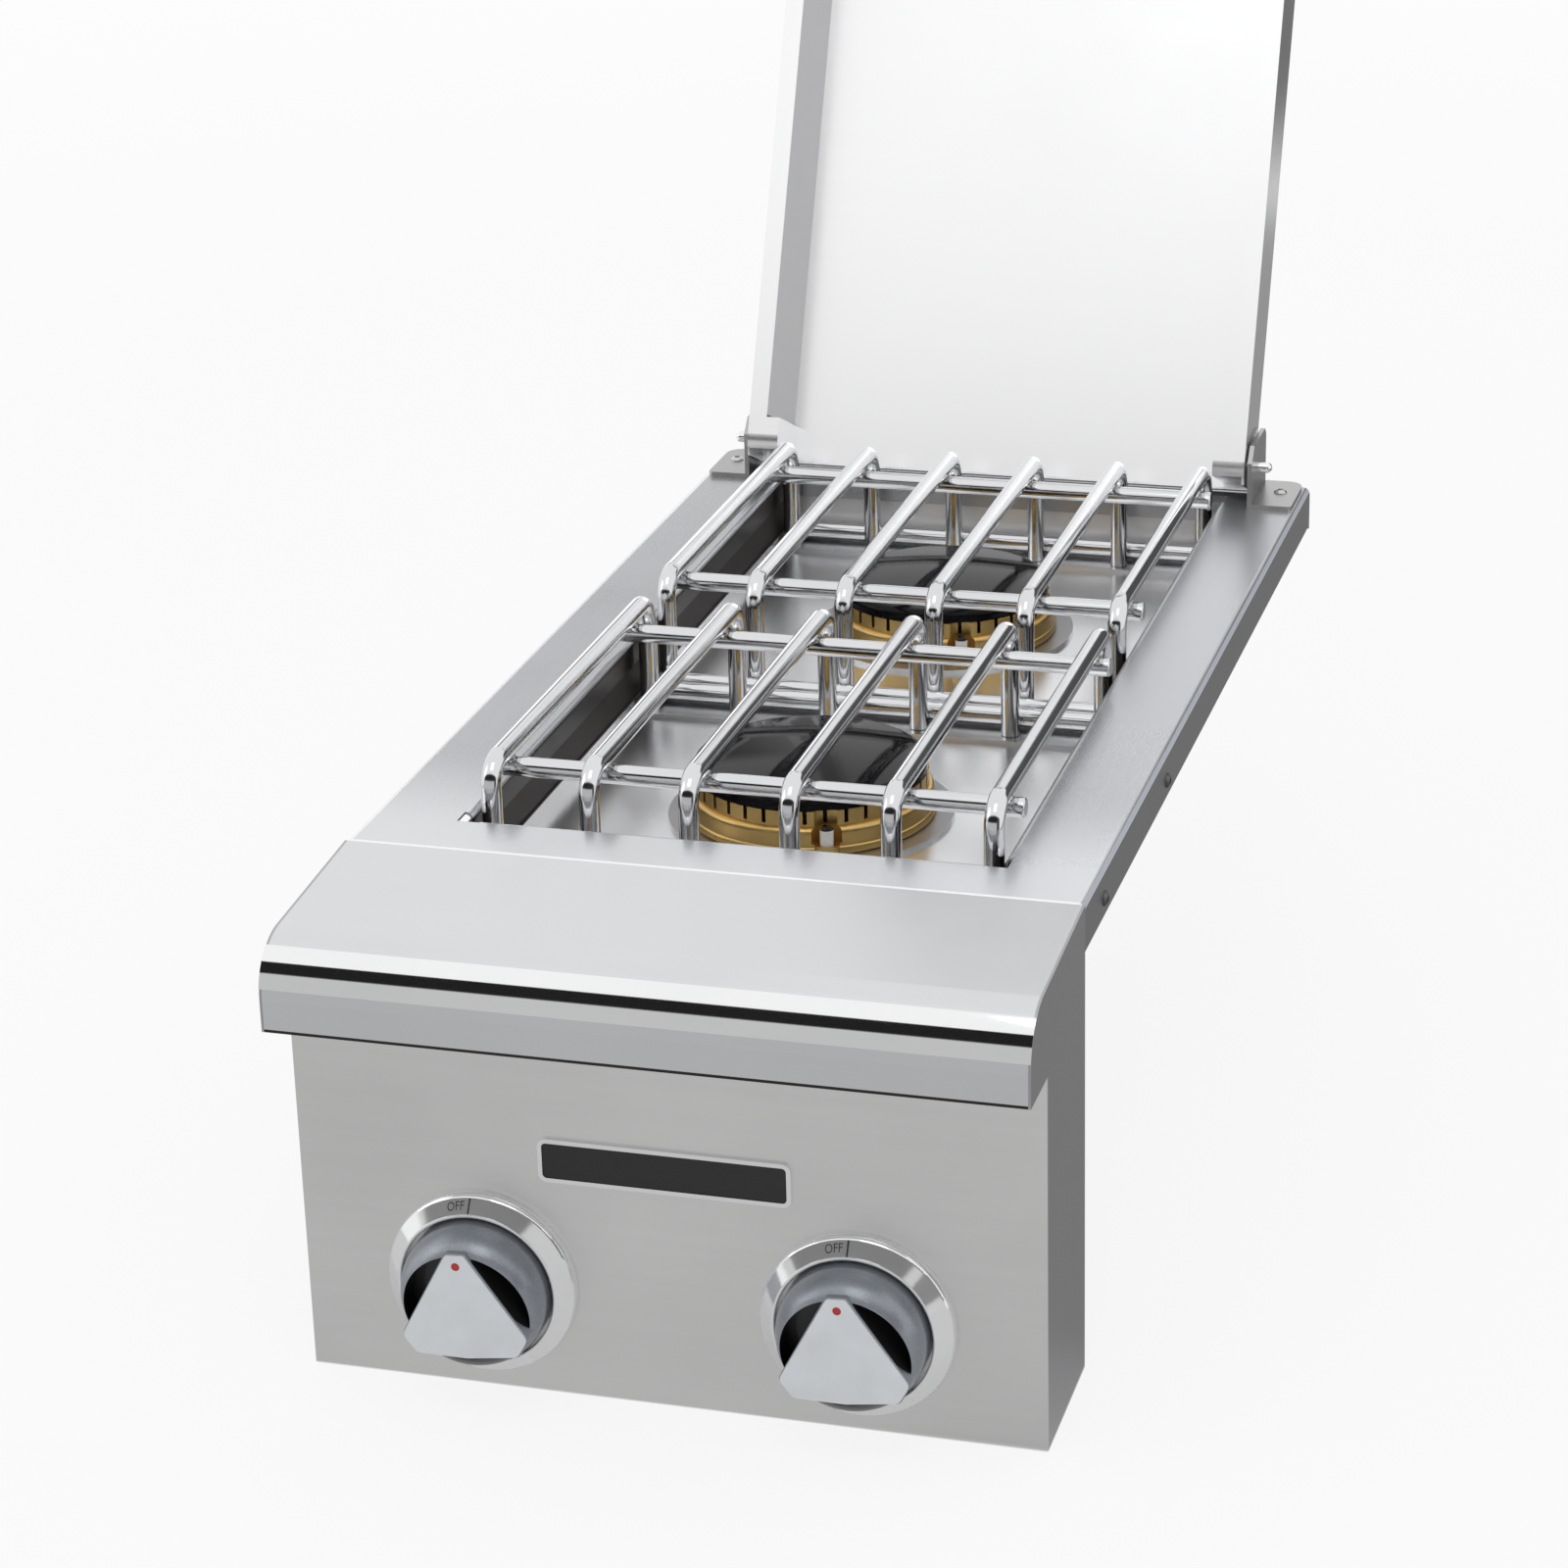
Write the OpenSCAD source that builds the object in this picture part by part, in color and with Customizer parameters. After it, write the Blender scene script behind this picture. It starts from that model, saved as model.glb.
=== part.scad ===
// Built in side burner: two burners in line under a hinged lid, set into a counter.
// The origin is on the counter's surface, under the middle of the rear seat flange.
// X runs to the right, Y to the back and Z up.

/* [Sheet metal] */
// Thickness of the stainless sheet
sheet_t = 1.2; // [1:0.1:1.5]
// Height of the deck above the counter
skirt_h = 24; // [22:0.5:28]
// Width of the flanges that rest on the counter
seat_w = 20; // [16:1:24]
// Outer radius of the bend round the deck
edge_r = 4; // [3:0.5:5]
// Outer radius of the small bends
bend_r = 2.4; // [2:0.1:3]

/* [Deck opening] */
// From the control panel's face to the opening
opening_front = 113; // [108:1:122]
// From the opening to the deck's rear edge
opening_rear = 32; // [30:1:40]
// From each side of the opening to the deck's side
side_strip = 46; // [44:1:52]
// Radius of the rolled edge
roll_r = 4; // [3:0.5:5]
// Depth of the rolled edge below the deck
roll_drop = 14; // [10:1:18]
// Length left out of each rolled edge at a corner
corner_relief = 7; // [5:1:9]

/* [Control box] */
// From the counter's surface down to the panel's bottom edge
box_h = 204; // [195:1:215]
// From the panel's face back to the fold line
fold_back = 76; // [72:1:84]
// How far the nose stands in front of the panel
nose_out = 31; // [28:1:34]
// Outer radius of the nose
nose_r = 26; // [22:1:28]
// Fall of the sloping face from the fold line to the nose
nose_fall = 6; // [4:0.5:8]
// From the deck's top down to the nose's bottom edge
nose_drop = 47; // [44:1:52]
// Thickness of the polished strip
trim_t = 0.6; // [0.5:0.1:1]
// Width of the box's inward flanges
box_flange = 12; // [8:1:14]
// From the panel's middle to each knob
knob_x = 87; // [80:0.5:95]
// From the counter's surface down to the knobs
knob_drop = 151; // [147:1:153]

/* [Grates] */
// Diameter of the rods
rod_d = 9.5; // [8:0.5:10]
// Distance between neighbouring long rods
rod_pitch = 47.6; // [46:0.2:49]
// Distance between the front and rear legs
grate_l = 237; // [230:1:245]
// Distance between the two grates' neighbouring legs
grate_gap = 33.5; // [33:0.5:38]
// Centre of the long rods above the deck
rod_rise = 20.8; // [18:0.2:22]
// Centreline radius of the rods' bends
rod_bend = 12; // [10:0.5:14]
// From the legs to the upper cross rods
cross_inset = 25; // [22:1:28]
// How far the upper cross rods pass the outer rods
cross_over = 9; // [7:0.5:9.5]

/* [Pans and burners] */
// Depth of the pans' borders below the deck
pan_depth = 38; // [34:1:40]
// Thickness of the pans
pan_t = 1; // [0.8:0.1:1.4]
// Height of the pans' rims
pan_rim = 6; // [5:0.5:8]
// Width of the raised strip that the legs stand on
pan_strip = 26; // [24:1:30]
// Depth of the pan's floor below the strips
pan_step = 2; // [1.4:0.1:3]
// Distance between the two burners
burner_pitch = 268; // [260:1:276]
// Outer radius of the brass base
base_r = 60.5; // [57:0.5:62]
// Height of the base's body
base_h = 13.5; // [12:0.5:15]
// Height of the slotted ring above the body
ring_h = 8; // [7:0.5:9]
// Number of flame slots
ports = 36; // [24:1:40]
// Width of a flame slot
port_w = 2; // [1.6:0.1:3]
// How far the black cap's edge stands inside the slotted ring's face
cap_inset = 0.5; // [0.2:0.1:1]
// Height of the cap at its middle
cap_h = 9; // [8:0.5:10]
// Depth of the tub below the deck
firebox_h = 94; // [93:1:98]

/* [Knobs] */
// Outer radius of the bezel
bezel_r = 44.5; // [42:0.5:46]
// Inner radius of the bezel
bezel_in_r = 35.6; // [35:0.1:37]
// How far the bezel stands off the panel
bezel_h = 10; // [8:0.5:11]
// Radius of the knob
knob_r = 34; // [32:0.5:34.5]
// How far the knob's face stands off the panel
knob_h = 30; // [28:0.5:33]
// Travel of the knob when it is pushed
knob_push = 4; // [3:0.5:4.5]
// Lean of the pointers and the OFF marks to the left, in degrees
knob_lean = 4; // [0:1:8]

/* [Lid] */
// Length of the lid in front of its pins
lid_reach = 560; // [555:1:562]
// Inner depth of the lid
lid_depth = 40; // [38:1:46]
// How far the lid reaches past the opening on each side
lid_over = 17; // [16.5:0.5:17.5]
// Width of the lid's lips
lip_w = 10; // [8:0.5:10.5]
// Lean of the open lid, in degrees from upright
lid_tilt = 24; // [15:1:24]
// Height of the pins above the deck
pin_rise = 20; // [20:0.5:22]
// Radius of the pins
pin_r = 3; // [2.5:0.1:3.5]

/* [Hidden] */
$fn = 48;

// Smoothness of the large round pieces
fine = 96;
// Overrun of every cut
over = 1;
// Clearance of a piece that is dropped into its place
drop_gap = 0.6;
// Gap under a piece that rests on another and lifts off
rest_gap = 0.3;
// Radial clearance of a turning or sliding fit
run_gap = 0.05;
// Radial clearance of a screw in its hole
screw_gap = 0.1;

// Rods: the long rods set the opening, and the opening sets the deck
rods = 6;
rod_r = rod_d / 2;
rod_span = (rods - 1) * rod_pitch;
// From the outer rods' centres to the opening
side_gap = 6.5;
// Gap between the lower cross rods and the opening, so that the grates lift out
lift_gap = 0.5;
// From the end legs' centres to the opening
end_gap = rod_d + rod_r + lift_gap;
opening_w = rod_span + 2 * side_gap;
opening_l = 2 * grate_l + grate_gap + 2 * end_gap;
unit_w = opening_w + 2 * side_strip;
half_w = unit_w / 2;
body_run = opening_front + opening_l + opening_rear;
y_rear = seat_w / 2;
y_face = y_rear - body_run;
y_fold = y_face + fold_back;
open_y0 = y_face + opening_front;
open_y1 = y_rear - opening_rear;
open_x = opening_w / 2;
z_deck = skirt_h;
z_box = -box_h;
z_rod = z_deck + rod_rise;
z_strip = z_deck - pan_depth;
z_floor = z_strip - pan_step;
z_tub = z_deck - firebox_h;
knob_z = -knob_drop;

// Grates
grate_y = [open_y0 + end_gap, open_y1 - end_gap - grate_l];
foot_z = z_strip + rest_gap;
// Gap between crossing rods where they are welded
weld_gap = 0.02;
// Height of the lower cross rods above the legs' feet
low_cross_rise = 1;
// How far the lower cross rods pass the outer rods
low_cross_over = 3;
// Rounding of the cross rods' ends
rod_end_round = 1.2;

// Nose: a circle that meets the sloping face and the drop flange
nose_y = y_face - nose_out + nose_r;
nose_s = atan(nose_fall / (y_fold - nose_y));
nose_z = z_deck - nose_fall - nose_r / cos(nose_s);
z_nose = z_deck - nose_drop;
// Where the polished strip starts and ends, in degrees above level
trim_low_a = 12;
trim_high_a = 56;
// From the nose's bottom edge up to the panel's hidden top edge
panel_hide = 12;

// Firebox and what hangs it
tub_x = open_x + sheet_t;
tub_end_gap = 3.5;
tub_y0 = open_y0 - tub_end_gap;
tub_y1 = open_y1 + tub_end_gap;
hanger_w = 22;
hanger_z = 3;
hanger_inset = 4;
hanger_pitch = 144;
hanger_y = [open_y0 + hanger_inset, open_y0 + hanger_inset + hanger_pitch];
hanger_top = 17;
hanger_leg = 12;

// Pans
pan_mid = (tub_y0 + tub_y1) / 2;
rail_w = 12;
rail_h = 14;
seat_ring_past = 9;
seat_ring_r = base_r + seat_ring_past;
throat_r = 17;
throat_in_r = 12.5;
throat_h = 24;
throat_floor = 2;
neck_h = 8;
z_throat = z_strip - neck_h - throat_h;
burner_y = [pan_mid - burner_pitch / 2, pan_mid + burner_pitch / 2];

// Burner
wall_t = 4;
ring_inset = 3.5;
ring_r = base_r - ring_inset;
body_inset = 0.8;
shoulder_r = 2.6;
rim_h = 4.6;
rim_round = 1.4;
z_ring = z_strip + base_h + ring_h;
port_h = 6.5;
spark_a = -67.4;
spark_inset = 1;
spark_r = base_r - spark_inset;
// The pocket that leaves the spark electrode open, and the lug under it
notch_r = 8;
notch_out = 2;
lug_r = 6;
lug_h = 6;
ceramic_r = 3.3;
ceramic_top = 13.5;
ceramic_low = 16;
tip_r = 2.1;
tip_h = 1.5;
cap_shoulder = 4.2;
cap_rim = 2.3;
cap_skin = 3;
spigot_h = 3;
jet_r = 5;
jet_h = 9;
jet_head_r = 6.5;
jet_head_h = 3;
jet_bore = 1;
z_jet = z_throat - jet_head_h;

// Gas path
tube_r = 4;
tube_bend = 10;
tube_rise = 12;
tube_z = z_jet - tube_rise;
tube_wall_gap = 2.5;
hole_gap = 1.5;
lead_r = 1.5;
lead_bend = 5;
lead_z = [-40, -47];
manifold_r = 10.65;
manifold_past = 30;
manifold_half = knob_x + manifold_past;
manifold_back = 25;
manifold_drop = 34;
manifold_y = y_face + manifold_back;
manifold_z = knob_z - manifold_drop;
inlet_r = 7.94;
inlet_l = 14;
inlet_nut_r = 11;
inlet_nut_l = 9;
module_w = 44;
module_d = 24;
module_h = 32;

// Valves, measured from the panel's face
valve_w = 26;
valve_h = 30;
valve_l = 42;
valve_flange_w = 46;
valve_flange_h = 26;
valve_flange_t = 3;
neck_r = 9.8;
neck_out = 2;
plug_r = 7;
plug_y = 20;
plug_l = 18;
stem_r = 3.2;
stem_flat = 1;
stem_end = 33;
hub_end = 19;
spring_in_r = 3.8;
spring_r = 6;
collar_r = 5.6;
collar_t = 1.6;
collar_y = 5;
chamber_r = 6.4;
outlet_r = 6;
outlet_l = 8;
valve_screw_x = 17;
screw_r = 2;
screw_head_r = 3.6;
screw_head_h = 2;
screw_dome_r = 5;
// Hexagon socket in a screw's head
socket_r = 1.7;
socket_d = 1.3;

// Knob, measured from the panel's face
knob_gap = 1;
knob_back = knob_push + knob_gap;
knob_recess_r = 30;
knob_recess = 3;
knob_side = 12;
knob_round = 20;
knob_proud = 1.2;
knob_top = knob_h - knob_proud;
face_t = 1;
scoop_r = 29.5;
scoop_drop = 3.5;
scoop_floor = 11;
dot_r = 1.9;
dot_y = 22;
face_top = 28;
face_apex = 4.8;
face_wide = 30;
face_wide_y = -13;
face_low = 24.3;
face_low_y = -22.3;
face_bottom = -24;
apex_round = 2;
corner_round = 3.5;
low_round = 4;
face_inset = 0.5;

// Nameplate
plate_w = 116;
plate_h = 21;
plate_t = 1.4;
plate_round = 4;
plate_border = 2;
plate_inlay = 0.5;
plate_z = -87;

// Lid and hinge
lid_half = open_x + lid_over;
lid_gap = 0.5;
pin_to_lip = pin_rise - lid_gap;
pin_inset = 34;
pin_y = y_rear - pin_inset;
pin_z = z_deck + pin_rise;
lid_top = lid_depth - pin_to_lip;
stop_gap = 0.2;
// The rear corner comes to rest this far above the deck when the lid is open
lid_tail = (pin_rise - stop_gap - (lid_top + sheet_t) * sin(lid_tilt)) / cos(lid_tilt);
lid_open = 90 + lid_tilt;
rail_slant = 6;
rail_t = 1;
hem_h = 8;
finger_w = 9;
block_w = 16.5;
block_front = 10;
block_tail = 8;
ear_gap = 1;
ear_t = 2.5;
ear_x = lid_half + ear_gap;
ear_front = 14;
ear_back = 32;
ear_h = 34;
ear_cut = 8;
foot_w = 22;
foot_back_round = 9;
pin_out = 9;
pin_inner = 5;
bracket_screw_out = 12;
bracket_screw_inset = 23;
bracket_screw_x = ear_x + ear_t + bracket_screw_out;
bracket_screw_y = y_rear - bracket_screw_inset;

// Helpers

// A block from its lowest corner to its highest one
module span(a, b) {
    translate(a) cube(b - a);
}

// A shape drawn in X and Z, run along Y
module along_y(y0, y1) {
    translate([0, y1, 0]) rotate([90, 0, 0]) linear_extrude(y1 - y0) children();
}

// A shape drawn in Y and Z, run along X
module along_x(x0, x1) {
    translate([x0, 0, 0]) rotate([90, 0, 90]) linear_extrude(x1 - x0) children();
}

// Both sides of the unit
module both_sides() {
    children();
    mirror([1, 0, 0]) children();
}

// A quarter of a bent sheet, from the right side round to the top
module bend2d(r, t) {
    difference() {
        intersection() {
            circle(r);
            square(r);
        }
        circle(r - t);
    }
}

function unit(v) = v / norm(v);

// Angle from a to b, the short way round
function turn(a, b) = let (d = b - a) d > 180 ? d - 360 : d < -180 ? d + 360 : d;

// Points of the arc that rounds the corner b between a and c
function corner(a, b, c, r, n = 6) = let (
        u = unit(a - b), v = unit(c - b),
        h = acos(u * v) / 2,
        m = b + unit(u + v) * r / sin(h),
        p = b + u * r / tan(h), q = b + v * r / tan(h),
        a0 = atan2(p.y - m.y, p.x - m.x),
        sweep = turn(a0, atan2(q.y - m.y, q.x - m.x)))
    [for (i = [0 : n]) m + r * [cos(a0 + sweep * i / n), sin(a0 + sweep * i / n)]];

// An outline with each of its corners rounded
function rounded(p, r) = let (k = len(p))
    [for (i = [0 : k - 1]) each corner(p[(i + k - 1) % k], p[i], p[(i + 1) % k], r[i])];

// A round tube along points joined by square bends
module tube_path(p, r, b) {
    last = len(p) - 1;
    for (i = [0 : last - 1]) {
        u = unit(p[i + 1] - p[i]);
        a = p[i] + (i == 0 ? 0 : b) * u;
        e = p[i + 1] - (i == last - 1 ? 0 : b) * u;
        v = abs(u.z) > 0 ? [1, 0, 0] : [0, 0, 1];
        w = cross(u, v);
        multmatrix([[v.x, w.x, u.x, a.x], [v.y, w.y, u.y, a.y], [v.z, w.z, u.z, a.z]])
            cylinder(r = r, h = norm(e - a));
    }
    for (i = [1 : last - 1]) {
        u = unit(p[i - 1] - p[i]);
        v = unit(p[i + 1] - p[i]);
        w = cross(u, v);
        m = p[i] + b * (u + v);
        multmatrix([[-u.x, -v.x, w.x, m.x], [-u.y, -v.y, w.y, m.y], [-u.z, -v.z, w.z, m.z]])
            rotate_extrude(angle = 90) translate([b, 0]) circle(r);
    }
}

// A low round socket head with its shank, its seat on the XY plane
module screw(shank) {
    difference() {
        rotate_extrude() intersection() {
            translate([0, screw_head_h - screw_dome_r]) circle(screw_dome_r, $fn = fine);
            square([screw_head_r, screw_head_h]);
        }
        translate([0, 0, screw_head_h - socket_d]) cylinder(r = socket_r, h = socket_d + over,
            $fn = 6);
    }
    translate([0, 0, -shank]) cylinder(r = screw_r, h = shank);
}

// Control panel places: local Z points to the front and local Y up
module at_knob(side) {
    translate([side * knob_x, y_face, knob_z]) rotate([90, 0, 0]) children();
}

// The same place for the pieces that turn with a knob
module at_pointer(side) {
    at_knob(side) rotate(knob_lean) children();
}

// Deck

// Skirt section: the skirt's outer face is at 0, the deck's top at z_deck
module skirt2d() {
    translate([-edge_r, z_deck - edge_r]) bend2d(edge_r, sheet_t);
    translate([-sheet_t, bend_r]) square([sheet_t, z_deck - edge_r - bend_r]);
    translate([-bend_r, bend_r]) rotate(-90) bend2d(bend_r, sheet_t);
    translate([-seat_w, 0]) square([seat_w - bend_r, sheet_t]);
}

// Rolled edge section: the opening's face is at 0
module roll2d() {
    translate([-roll_r, z_deck - roll_r]) bend2d(roll_r, sheet_t);
    translate([-sheet_t, z_deck - roll_drop]) square([sheet_t, roll_drop - roll_r]);
}

module deck_holes() {
    both_sides() {
        translate([bracket_screw_x, bracket_screw_y, z_deck - sheet_t - over])
            cylinder(r = screw_r + screw_gap, h = sheet_t + 2 * over);
        for (y = hanger_y) translate([half_w - sheet_t - over, y, (hanger_z + hanger_top) / 2])
            rotate([0, 90, 0]) cylinder(r = screw_r + screw_gap, h = sheet_t + 2 * over);
    }
}

module deck() {
    color("silver") difference() {
        union() {
            difference() {
                span([-half_w + edge_r, y_fold, z_deck - sheet_t],
                    [half_w - edge_r, y_rear - edge_r, z_deck]);
                span([-open_x - roll_r, open_y0 - roll_r, z_deck - sheet_t - over],
                    [open_x + roll_r, open_y1 + roll_r, z_deck + over]);
            }
            both_sides() {
                translate([half_w, 0, 0]) along_y(y_fold, y_rear - edge_r) skirt2d();
                translate([half_w - edge_r, y_rear - edge_r, 0]) rotate_extrude(angle = 90) {
                    translate([0, z_deck - edge_r]) bend2d(edge_r, sheet_t);
                    translate([edge_r - sheet_t, 0]) square([sheet_t, z_deck - edge_r]);
                }
                translate([open_x, 0, 0])
                    along_y(open_y0 + corner_relief, open_y1 - corner_relief)
                        mirror([1, 0]) roll2d();
            }
            translate([0, y_rear, 0]) along_x(-half_w + edge_r, half_w - edge_r) skirt2d();
            translate([0, open_y0, 0]) along_x(-open_x + corner_relief, open_x - corner_relief)
                roll2d();
            translate([0, open_y1, 0]) along_x(-open_x + corner_relief, open_x - corner_relief)
                mirror([1, 0]) roll2d();
        }
        deck_holes();
    }
}

// Nose

// The nose's section, drawn smaller by d and carried on by o past its open edges
module nose2d(d, o) {
    intersection() {
        translate([nose_y, nose_z]) circle(nose_r - d, $fn = fine);
        translate([y_face - nose_out, nose_z]) square(2 * nose_r);
    }
    polygon([
        [y_fold + o, z_deck - d / cos(nose_s) + o * tan(nose_s)],
        [nose_y, nose_z] + (nose_r - d) * [-sin(nose_s), cos(nose_s)],
        [nose_y, nose_z],
        [y_face - nose_out + d, nose_z],
        [y_face - nose_out + d, z_nose - o],
        [y_fold + o, z_nose - o]]);
}

module front_nose() {
    color("gainsboro") along_x(-half_w + sheet_t, half_w - sheet_t) {
        difference() {
            nose2d(0, 0);
            nose2d(sheet_t, over);
        }
        translate([y_face - nose_out, z_nose]) square([nose_out, sheet_t]);
    }
}

module nose_trim() {
    reach = 2 * nose_r;
    color("white") along_x(-half_w, half_w) translate([nose_y, nose_z]) intersection() {
        difference() {
            circle(nose_r + trim_t, $fn = fine);
            circle(nose_r, $fn = fine);
        }
        polygon([[0, 0], reach * [-cos(trim_low_a), sin(trim_low_a)],
            reach * [-1, 1], reach * [-cos(trim_high_a), sin(trim_high_a)]]);
    }
}

module right_cheek() {
    color("silver") {
        along_x(half_w - sheet_t, half_w) {
            nose2d(0, 0);
            translate([y_face + sheet_t, z_box])
                square([fold_back - sheet_t, z_nose - z_box + over]);
        }
        span([half_w - box_flange, y_face + 2 * sheet_t, z_box], [half_w, y_fold, z_box + sheet_t]);
    }
}

module left_cheek() {
    mirror([1, 0, 0]) right_cheek();
}

module control_panel() {
    inner = half_w - sheet_t;
    color("silver") difference() {
        union() {
            span([-half_w, y_face, z_box], [half_w, y_face + sheet_t, z_nose]);
            span([-inner, y_face, z_nose - over], [inner, y_face + sheet_t, z_nose + panel_hide]);
            span([-inner, y_face, z_nose + panel_hide - sheet_t],
                [inner, y_face + box_flange, z_nose + panel_hide]);
            span([box_flange - half_w + drop_gap, y_face, z_box],
                [half_w - box_flange - drop_gap, y_face + box_flange, z_box + sheet_t]);
        }
        for (side = [-1, 1]) at_knob(side) translate([0, 0, -sheet_t - over]) {
            cylinder(r = neck_r + screw_gap, h = sheet_t + 2 * over);
            for (s = [-1, 1]) translate([s * valve_screw_x, 0, 0])
                cylinder(r = screw_r + screw_gap, h = sheet_t + 2 * over);
        }
    }
}

module plate2d(d) {
    w = plate_w / 2 - d;
    h = plate_h / 2 - d;
    r = plate_round - d;
    polygon(rounded([[w, h], [-w, h], [-w, -h], [w, -h]], [r, r, r, r]));
}

module nameplate() {
    color("dimgray") translate([0, y_face, plate_z]) rotate([90, 0, 0]) difference() {
        linear_extrude(plate_t) plate2d(0);
        translate([0, 0, plate_t - plate_inlay]) linear_extrude(plate_inlay + over)
            plate2d(plate_border);
    }
}

module bezel(side) {
    shoulder = bezel_h * 0.36;
    lip = bezel_h * 0.1;
    color("white") at_knob(side) rotate_extrude($fn = fine) {
        translate([bezel_r - shoulder, shoulder / 2]) intersection() {
            circle(shoulder);
            square(shoulder);
        }
        translate([bezel_in_r + lip, bezel_h - lip]) circle(lip);
        polygon([[bezel_in_r, 0], [bezel_r, 0], [bezel_r, shoulder / 2],
            [bezel_r - shoulder * (1 - cos(50)), shoulder / 2 + shoulder * sin(50)],
            [bezel_in_r + lip * 1.5, bezel_h - lip * 0.13],
            [bezel_in_r + lip, bezel_h - lip], [bezel_in_r, bezel_h - lip]]);
    }
}

module left_bezel() {
    bezel(-1);
}

module right_bezel() {
    bezel(1);
}

// Control box inside

module wall_holes(y0, y1) {
    for (side = [-1, 1]) translate([side * knob_x, y1, tube_z]) rotate([90, 0, 0])
        cylinder(r = tube_r + hole_gap, h = y1 - y0);
    for (i = [0, 1]) translate([electrode_x(), y1, lead_z[i]]) rotate([90, 0, 0])
        cylinder(r = lead_r + hole_gap / 2, h = y1 - y0);
}

module heat_shield() {
    inner = half_w - sheet_t;
    low = z_deck - 2 * sheet_t;
    color("darkgray") difference() {
        union() {
            span([-inner, y_fold - sheet_t, z_box + sheet_t], [inner, y_fold, low]);
            along_x(-tub_x, tub_x) polygon([[y_fold - sheet_t, low - over],
                [y_fold, low - over], [y_fold, low], [y_fold + box_flange, low],
                [y_fold + box_flange, z_deck - sheet_t], [y_fold, z_deck - sheet_t],
                [y_fold - sheet_t, low]]);
        }
        wall_holes(y_fold - sheet_t - over, y_fold + over);
        translate([0, y_fold + over, manifold_z]) rotate([90, 0, 0])
            cylinder(r = inlet_nut_r + hole_gap, h = sheet_t + 2 * over);
    }
}

module firebox() {
    color("gray") difference() {
        span([-tub_x - sheet_t, tub_y0 - sheet_t, z_tub],
            [tub_x + sheet_t, tub_y1 + sheet_t, z_deck - roll_r]);
        span([-tub_x, tub_y0, z_tub + sheet_t], [tub_x, tub_y1, z_deck]);
        wall_holes(tub_y0 - sheet_t - over, tub_y0 + over);
    }
}

// A strap from the skirt's inner face down and across to the tub's wall
module hanger(y) {
    x0 = tub_x + sheet_t;
    x1 = half_w - sheet_t;
    difference() {
        along_y(y - hanger_w / 2, y + hanger_w / 2) {
            translate([x1 - sheet_t, hanger_z]) square([sheet_t, hanger_top - hanger_z]);
            translate([x0, hanger_z]) square([x1 - x0, sheet_t]);
            translate([x0, hanger_z - hanger_leg]) square([sheet_t, hanger_leg]);
        }
        translate([x1 - sheet_t - over, y, (hanger_z + hanger_top) / 2]) rotate([0, 90, 0])
            cylinder(r = screw_r + screw_gap, h = sheet_t + 2 * over);
    }
}

module firebox_hangers() {
    color("gray") both_sides() for (y = hanger_y) hanger(y);
}

module pan_rails() {
    color("gray") both_sides() along_y(tub_y0 + drop_gap, tub_y1 - drop_gap) {
        translate([tub_x - rail_w, z_floor - pan_t - sheet_t]) square([rail_w, sheet_t]);
        translate([tub_x - sheet_t, z_floor - pan_t - rail_h]) square([sheet_t, rail_h]);
    }
}

// Pans and burners, each at its own place along Y

function electrode_x() = spark_r * cos(spark_a);

// A pan between y0 and y1, its border strips at the level of the legs' feet
module pan(y0, y1, yb) {
    x = tub_x - drop_gap;
    color("lightgray") difference() {
        union() {
            difference() {
                span([-x, y0, z_floor - pan_t], [x, y1, z_strip + pan_rim]);
                span([-x + pan_t, y0 + pan_t, z_strip], [x - pan_t, y1 - pan_t, z_deck]);
                span([-x + pan_t, y0 + pan_strip, z_floor], [x - pan_t, y1 - pan_strip, z_deck]);
            }
            translate([0, yb, z_floor - pan_t]) cylinder(r = seat_ring_r,
                h = z_strip - z_floor + pan_t, $fn = fine);
        }
        translate([0, yb, z_floor - pan_t - over]) {
            cylinder(r = throat_r + drop_gap, h = pan_t + pan_step + 2 * over);
            rotate(spark_a) translate([spark_r, 0, 0])
                cylinder(r = ceramic_r + drop_gap, h = pan_t + pan_step + 2 * over);
        }
    }
}

module front_drip_pan() {
    pan(tub_y0 + drop_gap, pan_mid - drop_gap / 2, burner_y[0]);
}

module rear_drip_pan() {
    pan(pan_mid + drop_gap / 2, tub_y1 - drop_gap, burner_y[1]);
}

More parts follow.
